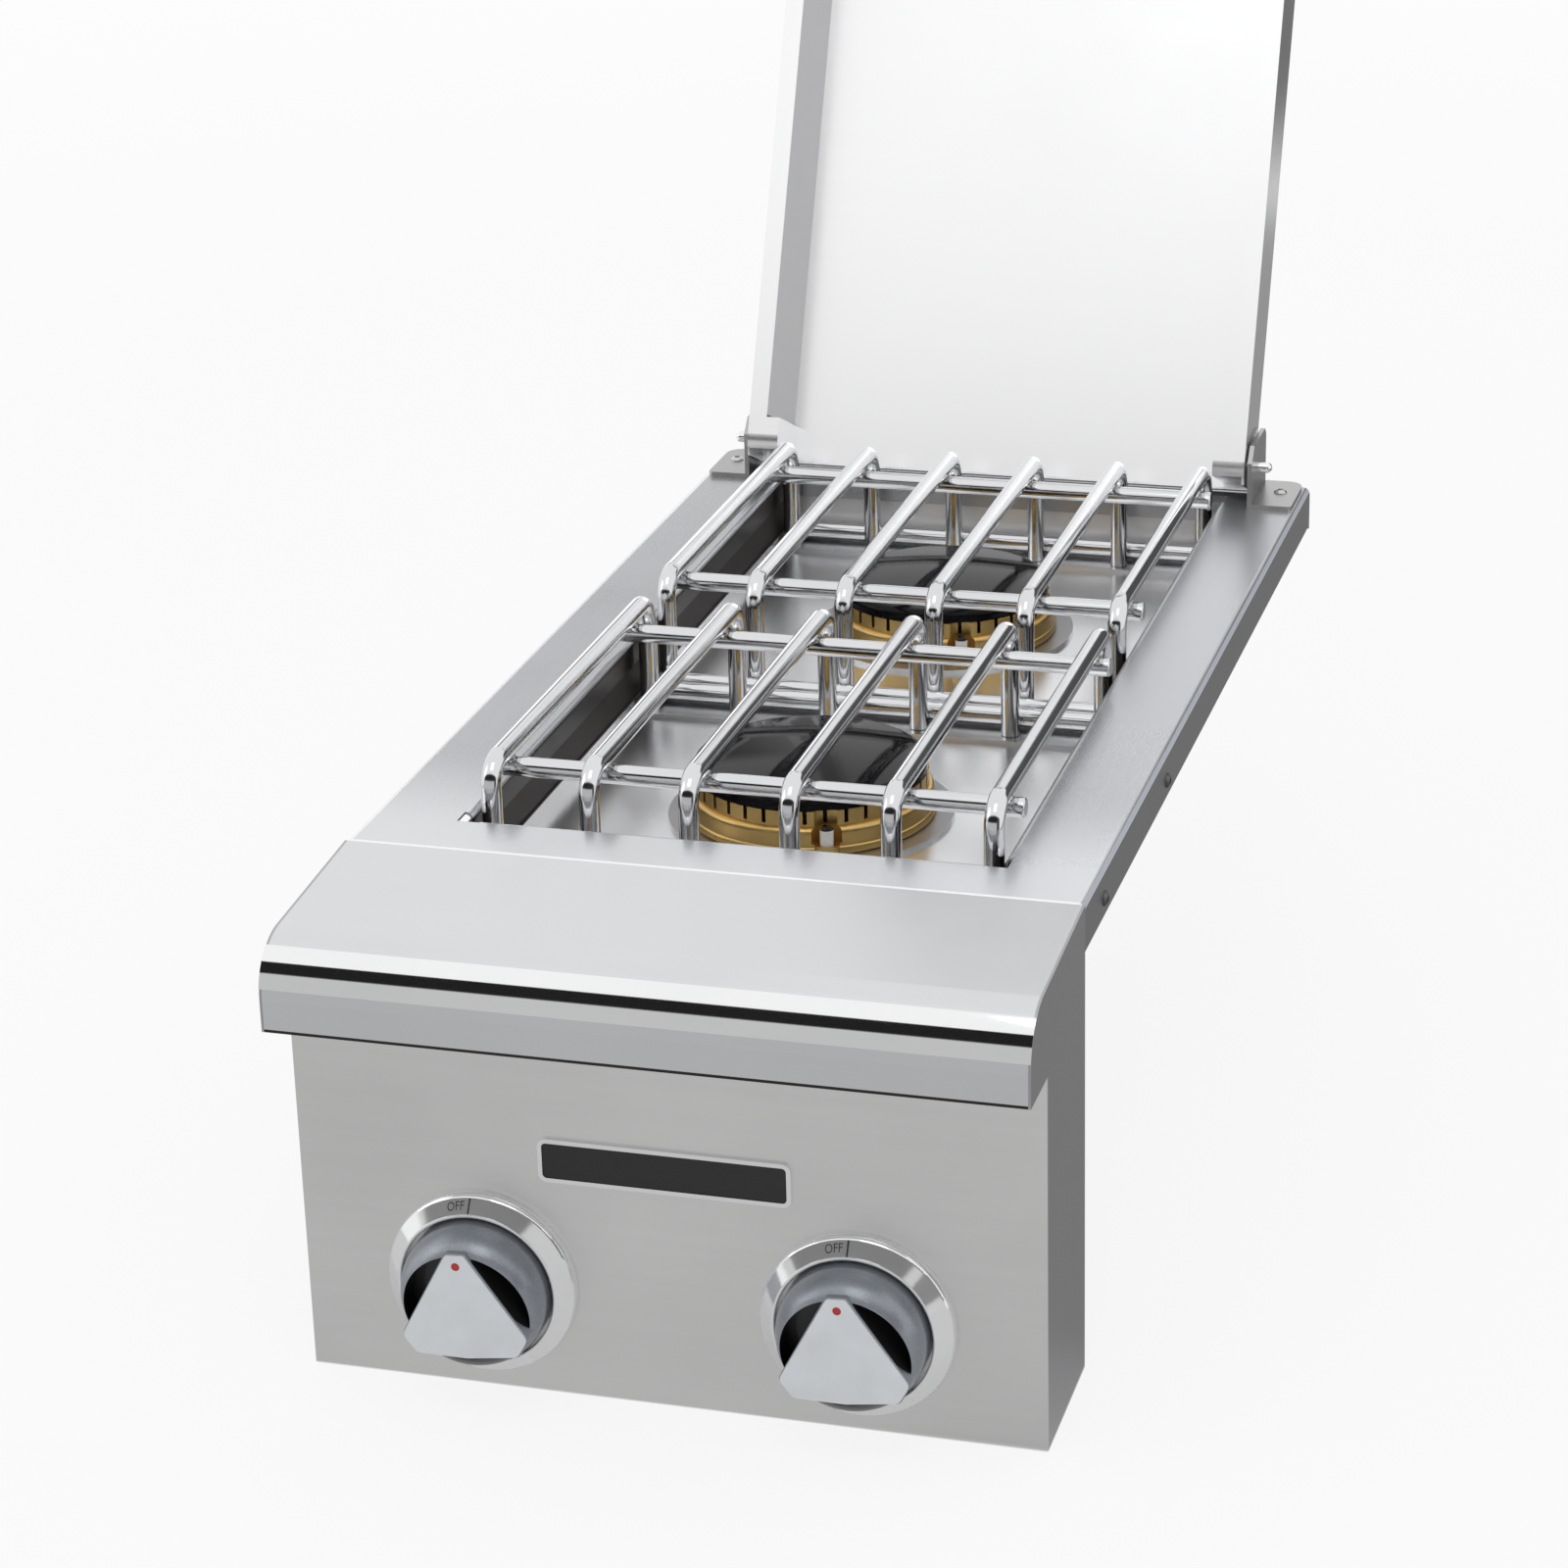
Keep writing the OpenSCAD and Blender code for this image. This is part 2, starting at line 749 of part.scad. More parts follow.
module burner_base(y) {
    body_r = base_r - body_inset;
    color("goldenrod") translate([0, y, z_strip]) difference() {
        union() {
            rotate_extrude($fn = fine) {
                polygon([[throat_in_r, 0], [base_r - rim_round, 0],
                    [base_r - rim_round, rim_round], [base_r, rim_round],
                    [base_r, rim_h - rim_round], [base_r - rim_round, rim_h - rim_round],
                    [base_r - rim_round, rim_h], [body_r, rim_h],
                    [body_r, base_h - shoulder_r], [body_r - shoulder_r, base_h - shoulder_r],
                    [body_r - shoulder_r, base_h], [ring_r, base_h],
                    [ring_r, base_h + ring_h], [ring_r - wall_t, base_h + ring_h],
                    [ring_r - wall_t, wall_t], [throat_in_r, wall_t]]);
                translate([base_r - rim_round, rim_round]) circle(rim_round);
                translate([base_r - rim_round, rim_h - rim_round]) circle(rim_round);
                translate([body_r - shoulder_r, base_h - shoulder_r]) circle(shoulder_r);
                translate([throat_in_r, -neck_h])
                    square([throat_r - throat_in_r, neck_h + wall_t]);
            }
            rotate(spark_a) translate([spark_r, 0, 0]) cylinder(r = lug_r, h = lug_h);
        }
        for (i = [0 : ports - 1]) rotate(spark_a + i * 360 / ports)
            translate([ring_r - wall_t - over, -port_w / 2, base_h + ring_h - port_h])
                cube([wall_t + 2 * over, port_w, port_h + over]);
        rotate(spark_a) {
            translate([base_r + notch_out, 0, lug_h])
                cylinder(r = notch_r, h = base_h + ring_h);
            translate([spark_r, 0, -over])
                cylinder(r = ceramic_r + drop_gap, h = lug_h + 2 * over);
        }
    }
}

module front_burner_base() {
    burner_base(burner_y[0]);
}

module rear_burner_base() {
    burner_base(burner_y[1]);
}

// The cap's section from its axis to its edge, its lower edge at 0
module cap2d() {
    cap_r = ring_r - cap_inset;
    flat_r = cap_r - cap_shoulder;
    rise = cap_h - cap_rim - cap_shoulder;
    dome = (flat_r * flat_r + rise * rise) / (2 * rise);
    square([cap_r, cap_rim]);
    translate([flat_r, cap_rim]) intersection() {
        circle(cap_shoulder, $fn = fine);
        square(cap_shoulder);
    }
    square([flat_r, cap_rim + cap_shoulder]);
    intersection() {
        translate([0, cap_h - dome]) circle(dome, $fn = 3 * fine);
        square([flat_r, cap_h]);
    }
}

module burner_cap(y) {
    guide_r = ring_r - wall_t - drop_gap;
    color([0.06, 0.06, 0.07]) translate([0, y, z_ring + rest_gap]) rotate_extrude($fn = fine) {
        difference() {
            cap2d();
            square([guide_r - cap_skin, cap_skin]);
        }
        translate([guide_r - cap_skin, -spigot_h]) square([cap_skin, spigot_h + cap_rim]);
    }
}

module front_burner_cap() {
    burner_cap(burner_y[0]);
}

module rear_burner_cap() {
    burner_cap(burner_y[1]);
}

module burner_throat(y) {
    window = throat_h / 2;
    color("lightgray") translate([0, y, z_throat]) difference() {
        cylinder(r = throat_r, h = throat_h);
        translate([0, 0, throat_floor]) cylinder(r = throat_in_r, h = throat_h);
        translate([0, 0, -over]) cylinder(r = jet_r, h = throat_floor + 2 * over);
        span([-throat_r - over, -jet_r, throat_floor], [throat_r + over, jet_r, window]);
    }
}

module front_burner_throat() {
    burner_throat(burner_y[0]);
}

module rear_burner_throat() {
    burner_throat(burner_y[1]);
}

module jet(y) {
    color("goldenrod") translate([0, y, z_jet]) difference() {
        union() {
            cylinder(r = jet_r, h = jet_h);
            cylinder(r = jet_head_r, h = jet_head_h);
        }
        translate([0, 0, jet_head_h]) cylinder(r = jet_bore, h = jet_h);
    }
}

module front_jet() {
    jet(burner_y[0]);
}

module rear_jet() {
    jet(burner_y[1]);
}

// From the valve's outlet back, up, back again, across and up to the jet
module gas_tube(side, y) {
    out = y_face + sheet_t + valve_flange_t + valve_l + outlet_l / 2;
    rise = y_fold - sheet_t - tube_wall_gap - tube_r;
    x = side * knob_x;
    color("silver") tube_path([[x, out, knob_z], [x, rise, knob_z], [x, rise, tube_z],
        [x, y, tube_z], [0, y, tube_z], [0, y, z_jet]], tube_r, tube_bend);
}

module front_gas_tube() {
    gas_tube(-1, burner_y[0]);
}

module rear_gas_tube() {
    gas_tube(1, burner_y[1]);
}

module at_electrode(y) {
    translate([0, y, z_strip]) rotate(spark_a) translate([spark_r, 0, 0]) children();
}

module electrode(y) {
    color("white") at_electrode(y) {
        translate([0, 0, -ceramic_low]) cylinder(r = ceramic_r, h = ceramic_top + ceramic_low);
        translate([0, 0, ceramic_top - over]) cylinder(r = tip_r, h = tip_h + over);
    }
}

module front_electrode() {
    electrode(burner_y[0]);
}

module rear_electrode() {
    electrode(burner_y[1]);
}

module ignition_leads() {
    color("black") for (i = [0, 1]) {
        x = electrode_x();
        y = burner_y[i] + spark_r * sin(spark_a);
        tube_path([[x, y_fold - sheet_t - hole_gap, lead_z[i]], [x, y, lead_z[i]],
            [x, y, z_strip - ceramic_low]], lead_r, lead_bend);
    }
}

module spark_module() {
    x = electrode_x();
    y = y_fold - sheet_t;
    z = (lead_z[0] + lead_z[1]) / 2;
    color("black") difference() {
        span([x - module_w / 2, y - module_d, z - module_h / 2],
            [x + module_w / 2, y, z + module_h / 2]);
        for (i = [0, 1]) translate([x, y + over, lead_z[i]]) rotate([90, 0, 0])
            cylinder(r = lead_r, h = hole_gap + over);
    }
}

module manifold() {
    color("dimgray") {
        difference() {
            translate([-manifold_half, manifold_y, manifold_z]) rotate([0, 90, 0])
                cylinder(r = manifold_r, h = 2 * manifold_half);
            for (side = [-1, 1]) translate([side * knob_x, manifold_y, manifold_z])
                cylinder(r = stem_r, h = 2 * manifold_r);
        }
    }
}

module inlet_fitting() {
    y0 = y_fold - inlet_nut_l;
    color("goldenrod") difference() {
        translate([0, y0 + inlet_nut_l + inlet_l, manifold_z]) rotate([90, 0, 0]) {
            cylinder(r = inlet_r, h = inlet_l + over);
            translate([0, 0, inlet_l]) cylinder(r = inlet_nut_r, h = inlet_nut_l, $fn = 6);
            translate([0, 0, inlet_l]) cylinder(r = inlet_r,
                h = y0 + inlet_nut_l - manifold_y);
        }
        translate([-manifold_half, manifold_y, manifold_z]) rotate([0, 90, 0])
            cylinder(r = manifold_r, h = 2 * manifold_half);
        translate([0, y_fold + inlet_l + over, manifold_z]) rotate([90, 0, 0])
            cylinder(r = inlet_r / 2, h = inlet_l);
    }
}

// Valve: the stem slides and turns in it, and the plug turns with the stem
module valve(side) {
    back = sheet_t + valve_flange_t + valve_l;
    color("darkkhaki") at_knob(side) difference() {
        union() {
            translate([-valve_w / 2, -valve_h / 2, -back]) cube([valve_w, valve_h,
                valve_l + over]);
            translate([-valve_flange_w / 2, -valve_flange_h / 2, -sheet_t - valve_flange_t])
                cube([valve_flange_w, valve_flange_h, valve_flange_t]);
            translate([0, 0, -sheet_t - over]) cylinder(r = neck_r, h = sheet_t + neck_out + over);
            translate([0, 0, -back - outlet_l]) difference() {
                cylinder(r = outlet_r, h = outlet_l + over);
                translate([0, 0, -over]) cylinder(r = tube_r + run_gap,
                    h = outlet_l / 2 + over + run_gap);
            }
            translate([0, over - valve_h / 2, -manifold_back]) rotate([90, 0, 0])
                cylinder(r = outlet_r, h = manifold_drop + over - valve_h / 2);
        }
        translate([-outlet_r - over, -manifold_drop, -manifold_back]) rotate([0, 90, 0])
            cylinder(r = manifold_r, h = 2 * (outlet_r + over));
        translate([0, 0, -back]) cylinder(r = stem_r + run_gap, h = back + neck_out + over);
        translate([0, 0, -plug_y - plug_l - run_gap]) cylinder(r = plug_r + run_gap,
            h = plug_l + 2 * run_gap);
        translate([0, 0, -plug_y]) cylinder(r = chamber_r, h = plug_y - collar_y + knob_push / 2);
        for (s = [-1, 1]) translate([s * valve_screw_x, 0, -sheet_t - valve_flange_t - over])
            cylinder(r = screw_r + screw_gap, h = valve_flange_t + 2 * over);
    }
}

module left_valve() {
    valve(-1);
}

module right_valve() {
    valve(1);
}

// A round bar with a flat side, from z0 to z1
module flatted(r, flat, z0, z1) {
    difference() {
        translate([0, 0, z0]) cylinder(r = r, h = z1 - z0);
        translate([-2 * r, r - flat, z0 - over]) cube([4 * r, 2 * r, z1 - z0 + 2 * over]);
    }
}

module valve_plug(side) {
    color("goldenrod") at_pointer(side) difference() {
        translate([0, 0, -plug_y - plug_l]) cylinder(r = plug_r, h = plug_l);
        flatted(stem_r + run_gap, stem_flat, -plug_y - plug_l - over, -plug_y + over);
    }
}

module left_valve_plug() {
    valve_plug(-1);
}

module right_valve_plug() {
    valve_plug(1);
}

module stem(side) {
    color("silver") at_pointer(side) {
        flatted(stem_r, stem_flat, -stem_end, hub_end);
        translate([0, 0, -collar_y - collar_t]) cylinder(r = collar_r, h = collar_t);
    }
}

module left_stem() {
    stem(-1);
}

module right_stem() {
    stem(1);
}

module valve_spring(side) {
    color("gray") at_knob(side) translate([0, 0, -plug_y + rest_gap]) difference() {
        cylinder(r = spring_r, h = plug_y - collar_y - collar_t - 2 * rest_gap);
        translate([0, 0, -over]) cylinder(r = spring_in_r, h = plug_y);
    }
}

module left_valve_spring() {
    valve_spring(-1);
}

module right_valve_spring() {
    valve_spring(1);
}

// Knob

// Outline of the grip, drawn smaller by d
module grip2d(d) {
    right = [[face_apex - d, face_top - d], [face_wide - d, face_wide_y],
        [face_low - d, face_low_y + d], [0, face_bottom + d]];
    points = concat([for (i = [0 : 3]) right[i]],
        [for (i = [2 : -1 : 0]) [-right[i].x, right[i].y]]);
    polygon(rounded(points, [apex_round, corner_round, low_round, low_round, low_round,
        corner_round, apex_round]));
}

module knob(side) {
    run = [face_wide - face_apex, face_wide_y - face_top];
    far = 2;
    color([0.25, 0.26, 0.28]) at_pointer(side) difference() {
        union() {
            difference() {
                rotate_extrude($fn = fine) intersection() {
                    union() {
                        translate([knob_r - knob_round, knob_side]) circle(knob_round, $fn = fine);
                        translate([0, knob_back]) square([knob_r - knob_round, knob_top]);
                        translate([0, knob_back]) square([knob_r, knob_side - knob_back]);
                    }
                    translate([0, knob_back]) square([knob_r, knob_top - knob_back]);
                }
                for (s = [0, 1]) mirror([s, 0, 0]) translate([0, 0, scoop_floor])
                    linear_extrude(knob_h) intersection() {
                        translate([0, -scoop_drop]) circle(scoop_r, $fn = fine);
                        polygon([[face_apex, face_top] - far * run, [face_apex, face_top]
                            + far * run, [far * face_wide, face_top] + [far * face_wide, 0]]);
                    }
            }
            translate([0, 0, knob_side - face_t]) linear_extrude(knob_h - face_t - knob_side
                + face_t) grip2d(0);
        }
        translate([0, 0, knob_back - over]) cylinder(r = knob_recess_r, h = knob_recess + over);
        flatted(stem_r + run_gap, stem_flat, knob_back, hub_end + rest_gap);
    }
}

module left_knob() {
    knob(-1);
}

module right_knob() {
    knob(1);
}

module knob_face(side) {
    color("lightgray") at_pointer(side) difference() {
        translate([0, 0, knob_h - face_t]) linear_extrude(face_t) grip2d(face_inset);
        translate([0, dot_y, knob_h - face_t - over]) cylinder(r = dot_r + run_gap,
            h = face_t + 2 * over);
    }
}

module left_knob_face() {
    knob_face(-1);
}

module right_knob_face() {
    knob_face(1);
}

module knob_dot(side) {
    color("red") at_pointer(side) translate([0, dot_y, knob_h - face_t])
        cylinder(r = dot_r, h = face_t + run_gap);
}

module left_knob_dot() {
    knob_dot(-1);
}

module right_knob_dot() {
    knob_dot(1);
}

// Hinge

module hinge_brackets() {
    y0 = pin_y - ear_front;
    y1 = pin_y + ear_back;
    x1 = ear_x + ear_t + foot_w;
    foot = [[ear_x, y0], [x1, y0], [x1, y1], [ear_x, y1]];
    color("dimgray") both_sides() difference() {
        union() {
            along_x(ear_x, ear_x + ear_t) polygon([[y0, z_deck], [y1, z_deck],
                [y1, z_deck + ear_h - ear_cut / 2], [y1 - ear_cut / 2, z_deck + ear_h],
                [y0 + ear_cut, z_deck + ear_h], [y0, z_deck + ear_h - ear_cut]]);
            translate([0, 0, z_deck]) linear_extrude(ear_t) polygon(rounded(foot,
                [over, bend_r, foot_back_round, over]));
        }
        translate([ear_x - over, pin_y, pin_z]) rotate([0, 90, 0])
            cylinder(r = pin_r + run_gap, h = ear_t + 2 * over);
        translate([bracket_screw_x, bracket_screw_y, z_deck - over])
            cylinder(r = screw_r + screw_gap, h = ear_t + 2 * over);
    }
}

module bracket_screws() {
    color("silver") both_sides() translate([bracket_screw_x, bracket_screw_y, z_deck + ear_t])
        screw(ear_t + sheet_t);
}

module skirt_screws() {
    color("silver") both_sides() for (y = hanger_y)
        translate([half_w, y, (hanger_z + hanger_top) / 2]) rotate([0, 90, 0]) screw(2 * sheet_t);
}

module valve_screws() {
    color("silver") for (side = [-1, 1], s = [-1, 1]) at_knob(side)
        translate([s * valve_screw_x, 0, 0]) screw(sheet_t + valve_flange_t);
}

// Lid: drawn closed with its pins on the X axis, then opened
module opened() {
    translate([0, pin_y, pin_z]) rotate([-lid_open, 0, 0]) children();
}

// Keeps the corners behind the pins inside the circle that clears the deck
module clear_of_deck() {
    difference() {
        children();
        difference() {
            span([-half_w, 0, -lid_depth], [half_w, lid_depth, 0]);
            translate([-half_w - over, 0, 0]) rotate([0, 90, 0])
                cylinder(r = pin_to_lip, h = unit_w + 2 * over, $fn = fine);
        }
    }
}

// Cross section and long section of the lid's outside, drawn smaller by d
module lid_across2d(d) {
    w = lid_half - d;
    r = edge_r - d;
    translate([-w, -pin_to_lip - over]) square([2 * w, lid_depth + sheet_t - d - r + over]);
    translate([-w + r, -pin_to_lip]) square([2 * (w - r), lid_depth + sheet_t - d]);
    for (s = [-1, 1]) translate([s * (w - r), lid_top + sheet_t - d - r]) circle(r);
}

module lid_along2d(d) {
    r = edge_r - d;
    back = lid_tail + (d > 0 ? over : 0);
    translate([-lid_reach + d, -pin_to_lip - over])
        square([lid_reach - d + back, lid_depth + sheet_t - d - r + over]);
    translate([-lid_reach + d + r, -pin_to_lip])
        square([lid_reach - d - r + back, lid_depth + sheet_t - d]);
    translate([-lid_reach + d + r, lid_top + sheet_t - d - r]) circle(r);
}

module lid_solid(d) {
    intersection() {
        along_y(-lid_reach, lid_tail + over) lid_across2d(d);
        along_x(-lid_half, lid_half) lid_along2d(d);
    }
}

module lid() {
    color("gainsboro") opened() clear_of_deck() difference() {
        union() {
            difference() {
                lid_solid(0);
                lid_solid(sheet_t);
                span([-lid_half, lid_tail, -lid_depth], [lid_half, lid_tail + 2 * over, lid_depth]);
            }
            difference() {
                span([-lid_half + over, -lid_reach - finger_w, -pin_to_lip],
                    [lid_half - over, -block_front, -pin_to_lip + sheet_t]);
                span([-lid_half + lip_w, -lid_reach + lip_w, -lid_depth],
                    [lid_half - lip_w, lid_tail, lid_depth]);
            }
            span([-lid_half + sheet_t, lid_tail - sheet_t, lid_top - hem_h],
                [lid_half - sheet_t, lid_tail, lid_top + sheet_t / 2]);
        }
        span([-half_w, -lid_reach - finger_w - over, -pin_to_lip - 2 * over],
            [half_w, lid_tail + over, -pin_to_lip]);
        both_sides() translate([lid_half - sheet_t - over, 0, 0]) rotate([0, 90, 0])
            cylinder(r = pin_r, h = sheet_t + 2 * over);
    }
}

module lid_rails() {
    x = lid_half - lip_w;
    z0 = -pin_to_lip + sheet_t;
    color("silver") opened() both_sides()
        along_y(-lid_reach + lip_w + sheet_t, -block_front - sheet_t) polygon([
            [lid_half - sheet_t, z0], [x, z0],
            [x - rail_slant, lid_top], [x - rail_slant + rail_t, lid_top],
            [x + rail_t, z0 + rail_t], [lid_half - sheet_t, z0 + rail_t]]);
}

module lid_hinge_blocks() {
    x1 = lid_half - sheet_t;
    color("silver") opened() clear_of_deck() both_sides() difference() {
        intersection() {
            span([x1 - block_w, -block_front, -pin_to_lip], [x1, block_tail, lid_top]);
            lid_solid(sheet_t);
        }
        translate([x1 - pin_inner - over, 0, 0]) rotate([0, 90, 0])
            cylinder(r = pin_r, h = pin_inner + 2 * over);
    }
}

module lid_pins() {
    x0 = lid_half - sheet_t - pin_inner;
    x1 = ear_x + ear_t + pin_out;
    color("silver") opened() both_sides() translate([x0, 0, 0]) rotate([0, 90, 0]) {
        cylinder(r = pin_r, h = x1 - x0 - pin_r);
        translate([0, 0, x1 - x0 - pin_r]) sphere(pin_r);
    }
}

// Grates

// One rod: two legs, two bends and the straight top
module bent_rod() {
    tube_path([[0, 0, foot_z], [0, 0, z_rod], [0, grate_l, z_rod], [0, grate_l, foot_z]],
        rod_r, rod_bend);
}

module grate_bars(y) {
    color("silver") for (i = [0 : rods - 1])
        translate([i * rod_pitch - rod_span / 2, y, 0]) bent_rod();
}

module cross_rod(y, z, past) {
    l = rod_span + 2 * past;
    e = rod_end_round;
    translate([-l / 2, y, z]) rotate([0, 90, 0]) rotate_extrude() {
        square([rod_r - e, l]);
        translate([0, e]) square([rod_r, l - 2 * e]);
        translate([rod_r - e, e]) circle(e);
        translate([rod_r - e, l - e]) circle(e);
    }
}

module grate_cross_rods(y) {
    color("silver") for (end = [0, 1]) {
        s = end == 0 ? 1 : -1;
        leg = y + end * grate_l;
        cross_rod(leg + s * cross_inset, z_rod - rod_d - weld_gap, cross_over);
        cross_rod(leg - s * (rod_d + weld_gap), foot_z + low_cross_rise + rod_r, low_cross_over);
    }
}

module front_grate_bars() {
    grate_bars(grate_y[0]);
}

module rear_grate_bars() {
    grate_bars(grate_y[1]);
}

module front_grate_cross_rods() {
    grate_cross_rods(grate_y[0]);
}

module rear_grate_cross_rods() {
    grate_cross_rods(grate_y[1]);
}

deck();
front_nose();
nose_trim();
left_cheek();
right_cheek();
control_panel();
nameplate();
left_bezel();
right_bezel();
heat_shield();
firebox();
firebox_hangers();
pan_rails();
front_drip_pan();
rear_drip_pan();
front_burner_base();
rear_burner_base();
front_burner_cap();
rear_burner_cap();
front_burner_throat();
rear_burner_throat();
front_jet();
rear_jet();
front_gas_tube();
rear_gas_tube();
front_electrode();
rear_electrode();
ignition_leads();
spark_module();
manifold();
inlet_fitting();
left_valve();
right_valve();
left_valve_plug();
right_valve_plug();
left_stem();
right_stem();
left_valve_spring();
right_valve_spring();
left_knob();
right_knob();
left_knob_face();
right_knob_face();
left_knob_dot();
right_knob_dot();
hinge_brackets();
bracket_screws();
skirt_screws();
valve_screws();
lid();
lid_rails();
lid_hinge_blocks();
lid_pins();
front_grate_bars();
rear_grate_bars();
front_grate_cross_rods();
rear_grate_cross_rods();
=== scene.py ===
# %% [markdown]
# # A built in side burner
# The real thing is folded stainless sheet: a deck with a rolled opening, a rounded
# front, a box with two valves, and a lid. Two brass burners sit under rod grates.
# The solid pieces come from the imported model. This file gives them their finishes,
# adds the small things that a solid model leaves out, and sets the picture up.

import bmesh
import bpy
import numpy as np
from mathutils import Matrix, Vector


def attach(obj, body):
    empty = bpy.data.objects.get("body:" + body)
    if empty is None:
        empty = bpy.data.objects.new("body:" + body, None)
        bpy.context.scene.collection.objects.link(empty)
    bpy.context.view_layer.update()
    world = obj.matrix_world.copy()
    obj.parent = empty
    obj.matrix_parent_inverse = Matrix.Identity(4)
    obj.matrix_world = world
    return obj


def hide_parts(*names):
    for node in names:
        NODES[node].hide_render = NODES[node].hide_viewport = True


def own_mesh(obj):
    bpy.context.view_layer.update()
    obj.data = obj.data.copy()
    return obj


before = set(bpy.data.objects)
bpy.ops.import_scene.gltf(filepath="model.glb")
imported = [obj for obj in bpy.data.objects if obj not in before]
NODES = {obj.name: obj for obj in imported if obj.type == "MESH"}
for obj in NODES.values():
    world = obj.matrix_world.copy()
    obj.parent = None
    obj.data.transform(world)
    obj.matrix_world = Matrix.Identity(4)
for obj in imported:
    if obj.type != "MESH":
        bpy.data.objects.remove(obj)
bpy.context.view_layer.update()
MM = 0.001

# %% [markdown]
# ## Camera
# The photo's camera was worked out from the right angles of the sheet metal: it
# stands right of the middle and looks down at the deck through a long lens. Its
# place, its turn and its lens are written here as they were found, and nothing is
# shifted, so the same lens also works from other sides.

# %% Place the camera
LENS = 95.69
SENSOR = 36.0
CAMERA_AT = (0.5173, -2.2187, 0.7445)
AZIMUTH = np.radians(16.4835)
ELEVATION = np.radians(21.7565)
ROLL = np.radians(-1.5909)


def camera_turn(az, el, roll):
    """Axes of a camera that looks along az and down by el, rolled about its own view."""
    ahead = Vector((-np.sin(az) * np.cos(el), np.cos(az) * np.cos(el), -np.sin(el)))
    right = Vector((np.cos(az), np.sin(az), 0.0))
    up = right.cross(ahead)
    rolled = np.cos(roll) * right + np.sin(roll) * up
    return Matrix((rolled, -ahead.cross(rolled), -ahead)).transposed()


camera_data = bpy.data.cameras.new("camera")
camera_data.lens = LENS
camera_data.sensor_width = SENSOR
camera_data.clip_start = 0.05
camera_data.clip_end = 60.0
camera = bpy.data.objects.new("camera", camera_data)
camera.matrix_world = (Matrix.Translation(CAMERA_AT)
                       @ camera_turn(AZIMUTH, ELEVATION, ROLL).to_4x4())
bpy.context.scene.collection.objects.link(camera)
bpy.context.scene.camera = camera
bpy.context.scene.view_settings.view_transform = "Standard"
print("camera at", CAMERA_AT, "lens", LENS)

# %% [markdown]
# ## Node helpers
# Every finish below is a small tree of shader nodes. Written out link by link, such
# a tree is hard to follow, so short helpers do the wiring: wherever a number or a
# colour can stand, the output of another node can stand too.

# %% Write the node helpers
SMOOTH = "SMOOTHSTEP"


def feed(tree, value, target):
    """Link an output to an input, or write a plain value into it."""
    if isinstance(value, bpy.types.NodeSocket):
        tree.links.new(value, target)
    else:
        target.default_value = value


def set_up(tree, node, **values):
    """Set a node's properties and feed its inputs, with _ for a space in a name."""
    for name, value in values.items():
        if hasattr(node, name):
            setattr(node, name, value)
        else:
            feed(tree, value, node.inputs[name.replace("_", " ")])
    return node


def add(tree, kind, **values):
    """A new node of a kind, set up."""
    return set_up(tree, tree.nodes.new(kind), **values)


def maths(tree, operation, *values, kind="ShaderNodeMath"):
    """One step of arithmetic on outputs and numbers."""
    node = add(tree, kind, operation=operation)
    for value, target in zip(values, node.inputs):
        feed(tree, value, target)
    return node.outputs["Value"]


def ramp(tree, value, **values):
    """A value carried from one range to another, each 0 to 1 unless it is given."""
    return add(tree, "ShaderNodeMapRange", Value=value, **values).outputs["Result"]


def mixed(tree, kind, share, first, second):
    """The first of two colours or numbers, and by its share the second."""
    return add(tree, "ShaderNodeMix", data_type=kind, Factor=share, A=first,
               B=second).outputs["Result"]


def on_piece(tree):
    """The place on the piece, which is the frame's own metres."""
    return add(tree, "ShaderNodeTexCoord").outputs["Object"]


print("node helpers: feed, set_up, add, maths, ramp, mixed, on_piece")

# %% [markdown]
# ## Surroundings
# Polished metal is mostly a picture of what stands round it. The camera and every
# reflection see a plain white backdrop. The light that falls on dull surfaces comes
# from the same world, a little weaker, so that pale pieces keep their colour.

# %% Build the world
LIGHT = 0.90
world = bpy.data.worlds.new("studio")
bpy.context.scene.world = world
world.use_nodes = True
tree = world.node_tree
tree.nodes.clear()


def looked_at(tree):
    """1 for a ray from the camera, from a mirror or through glass, 0 for light."""
    ray = add(tree, "ShaderNodeLightPath")
    most = ray.outputs["Is Camera Ray"]
    for name in ("Is Glossy Ray", "Is Transmission Ray"):
        most = maths(tree, "MAXIMUM", most, ray.outputs[name])
    return most


backdrop = mixed(tree, "RGBA", looked_at(tree), (LIGHT, LIGHT, LIGHT, 1.0),
                 (1.0, 1.0, 1.0, 1.0))
light = add(tree, "ShaderNodeBackground", Strength=1.0, Color=backdrop)
add(tree, "ShaderNodeOutputWorld", Surface=light.outputs[0])
print("world light", LIGHT)

# %% [markdown]
# ## Floor
# The burner stands on a pale floor at the control box's lower edge. Most of what the
# camera sees of it is its own white, and the rest is lit paper, so it still takes the
# object's soft shadow. Further out it is all white, and joins the backdrop unseen.

# %% Build the floor
FLOOR_Z = -0.2045
FLOOR_HALF = 6.0
GLOW_SHARE = 0.84
GLOW_GROWS = (1.0, 4.5)
PAPER = (0.80, 0.80, 0.80, 1.0)


def sheet_object(name, corners):
    """A flat sheet through four corners."""
    mesh = bpy.data.meshes.new(name)
    mesh.from_pydata(corners, [], [(0, 1, 2, 3)])
    piece = bpy.data.objects.new(name, mesh)
    bpy.context.scene.collection.objects.link(piece)
    return piece


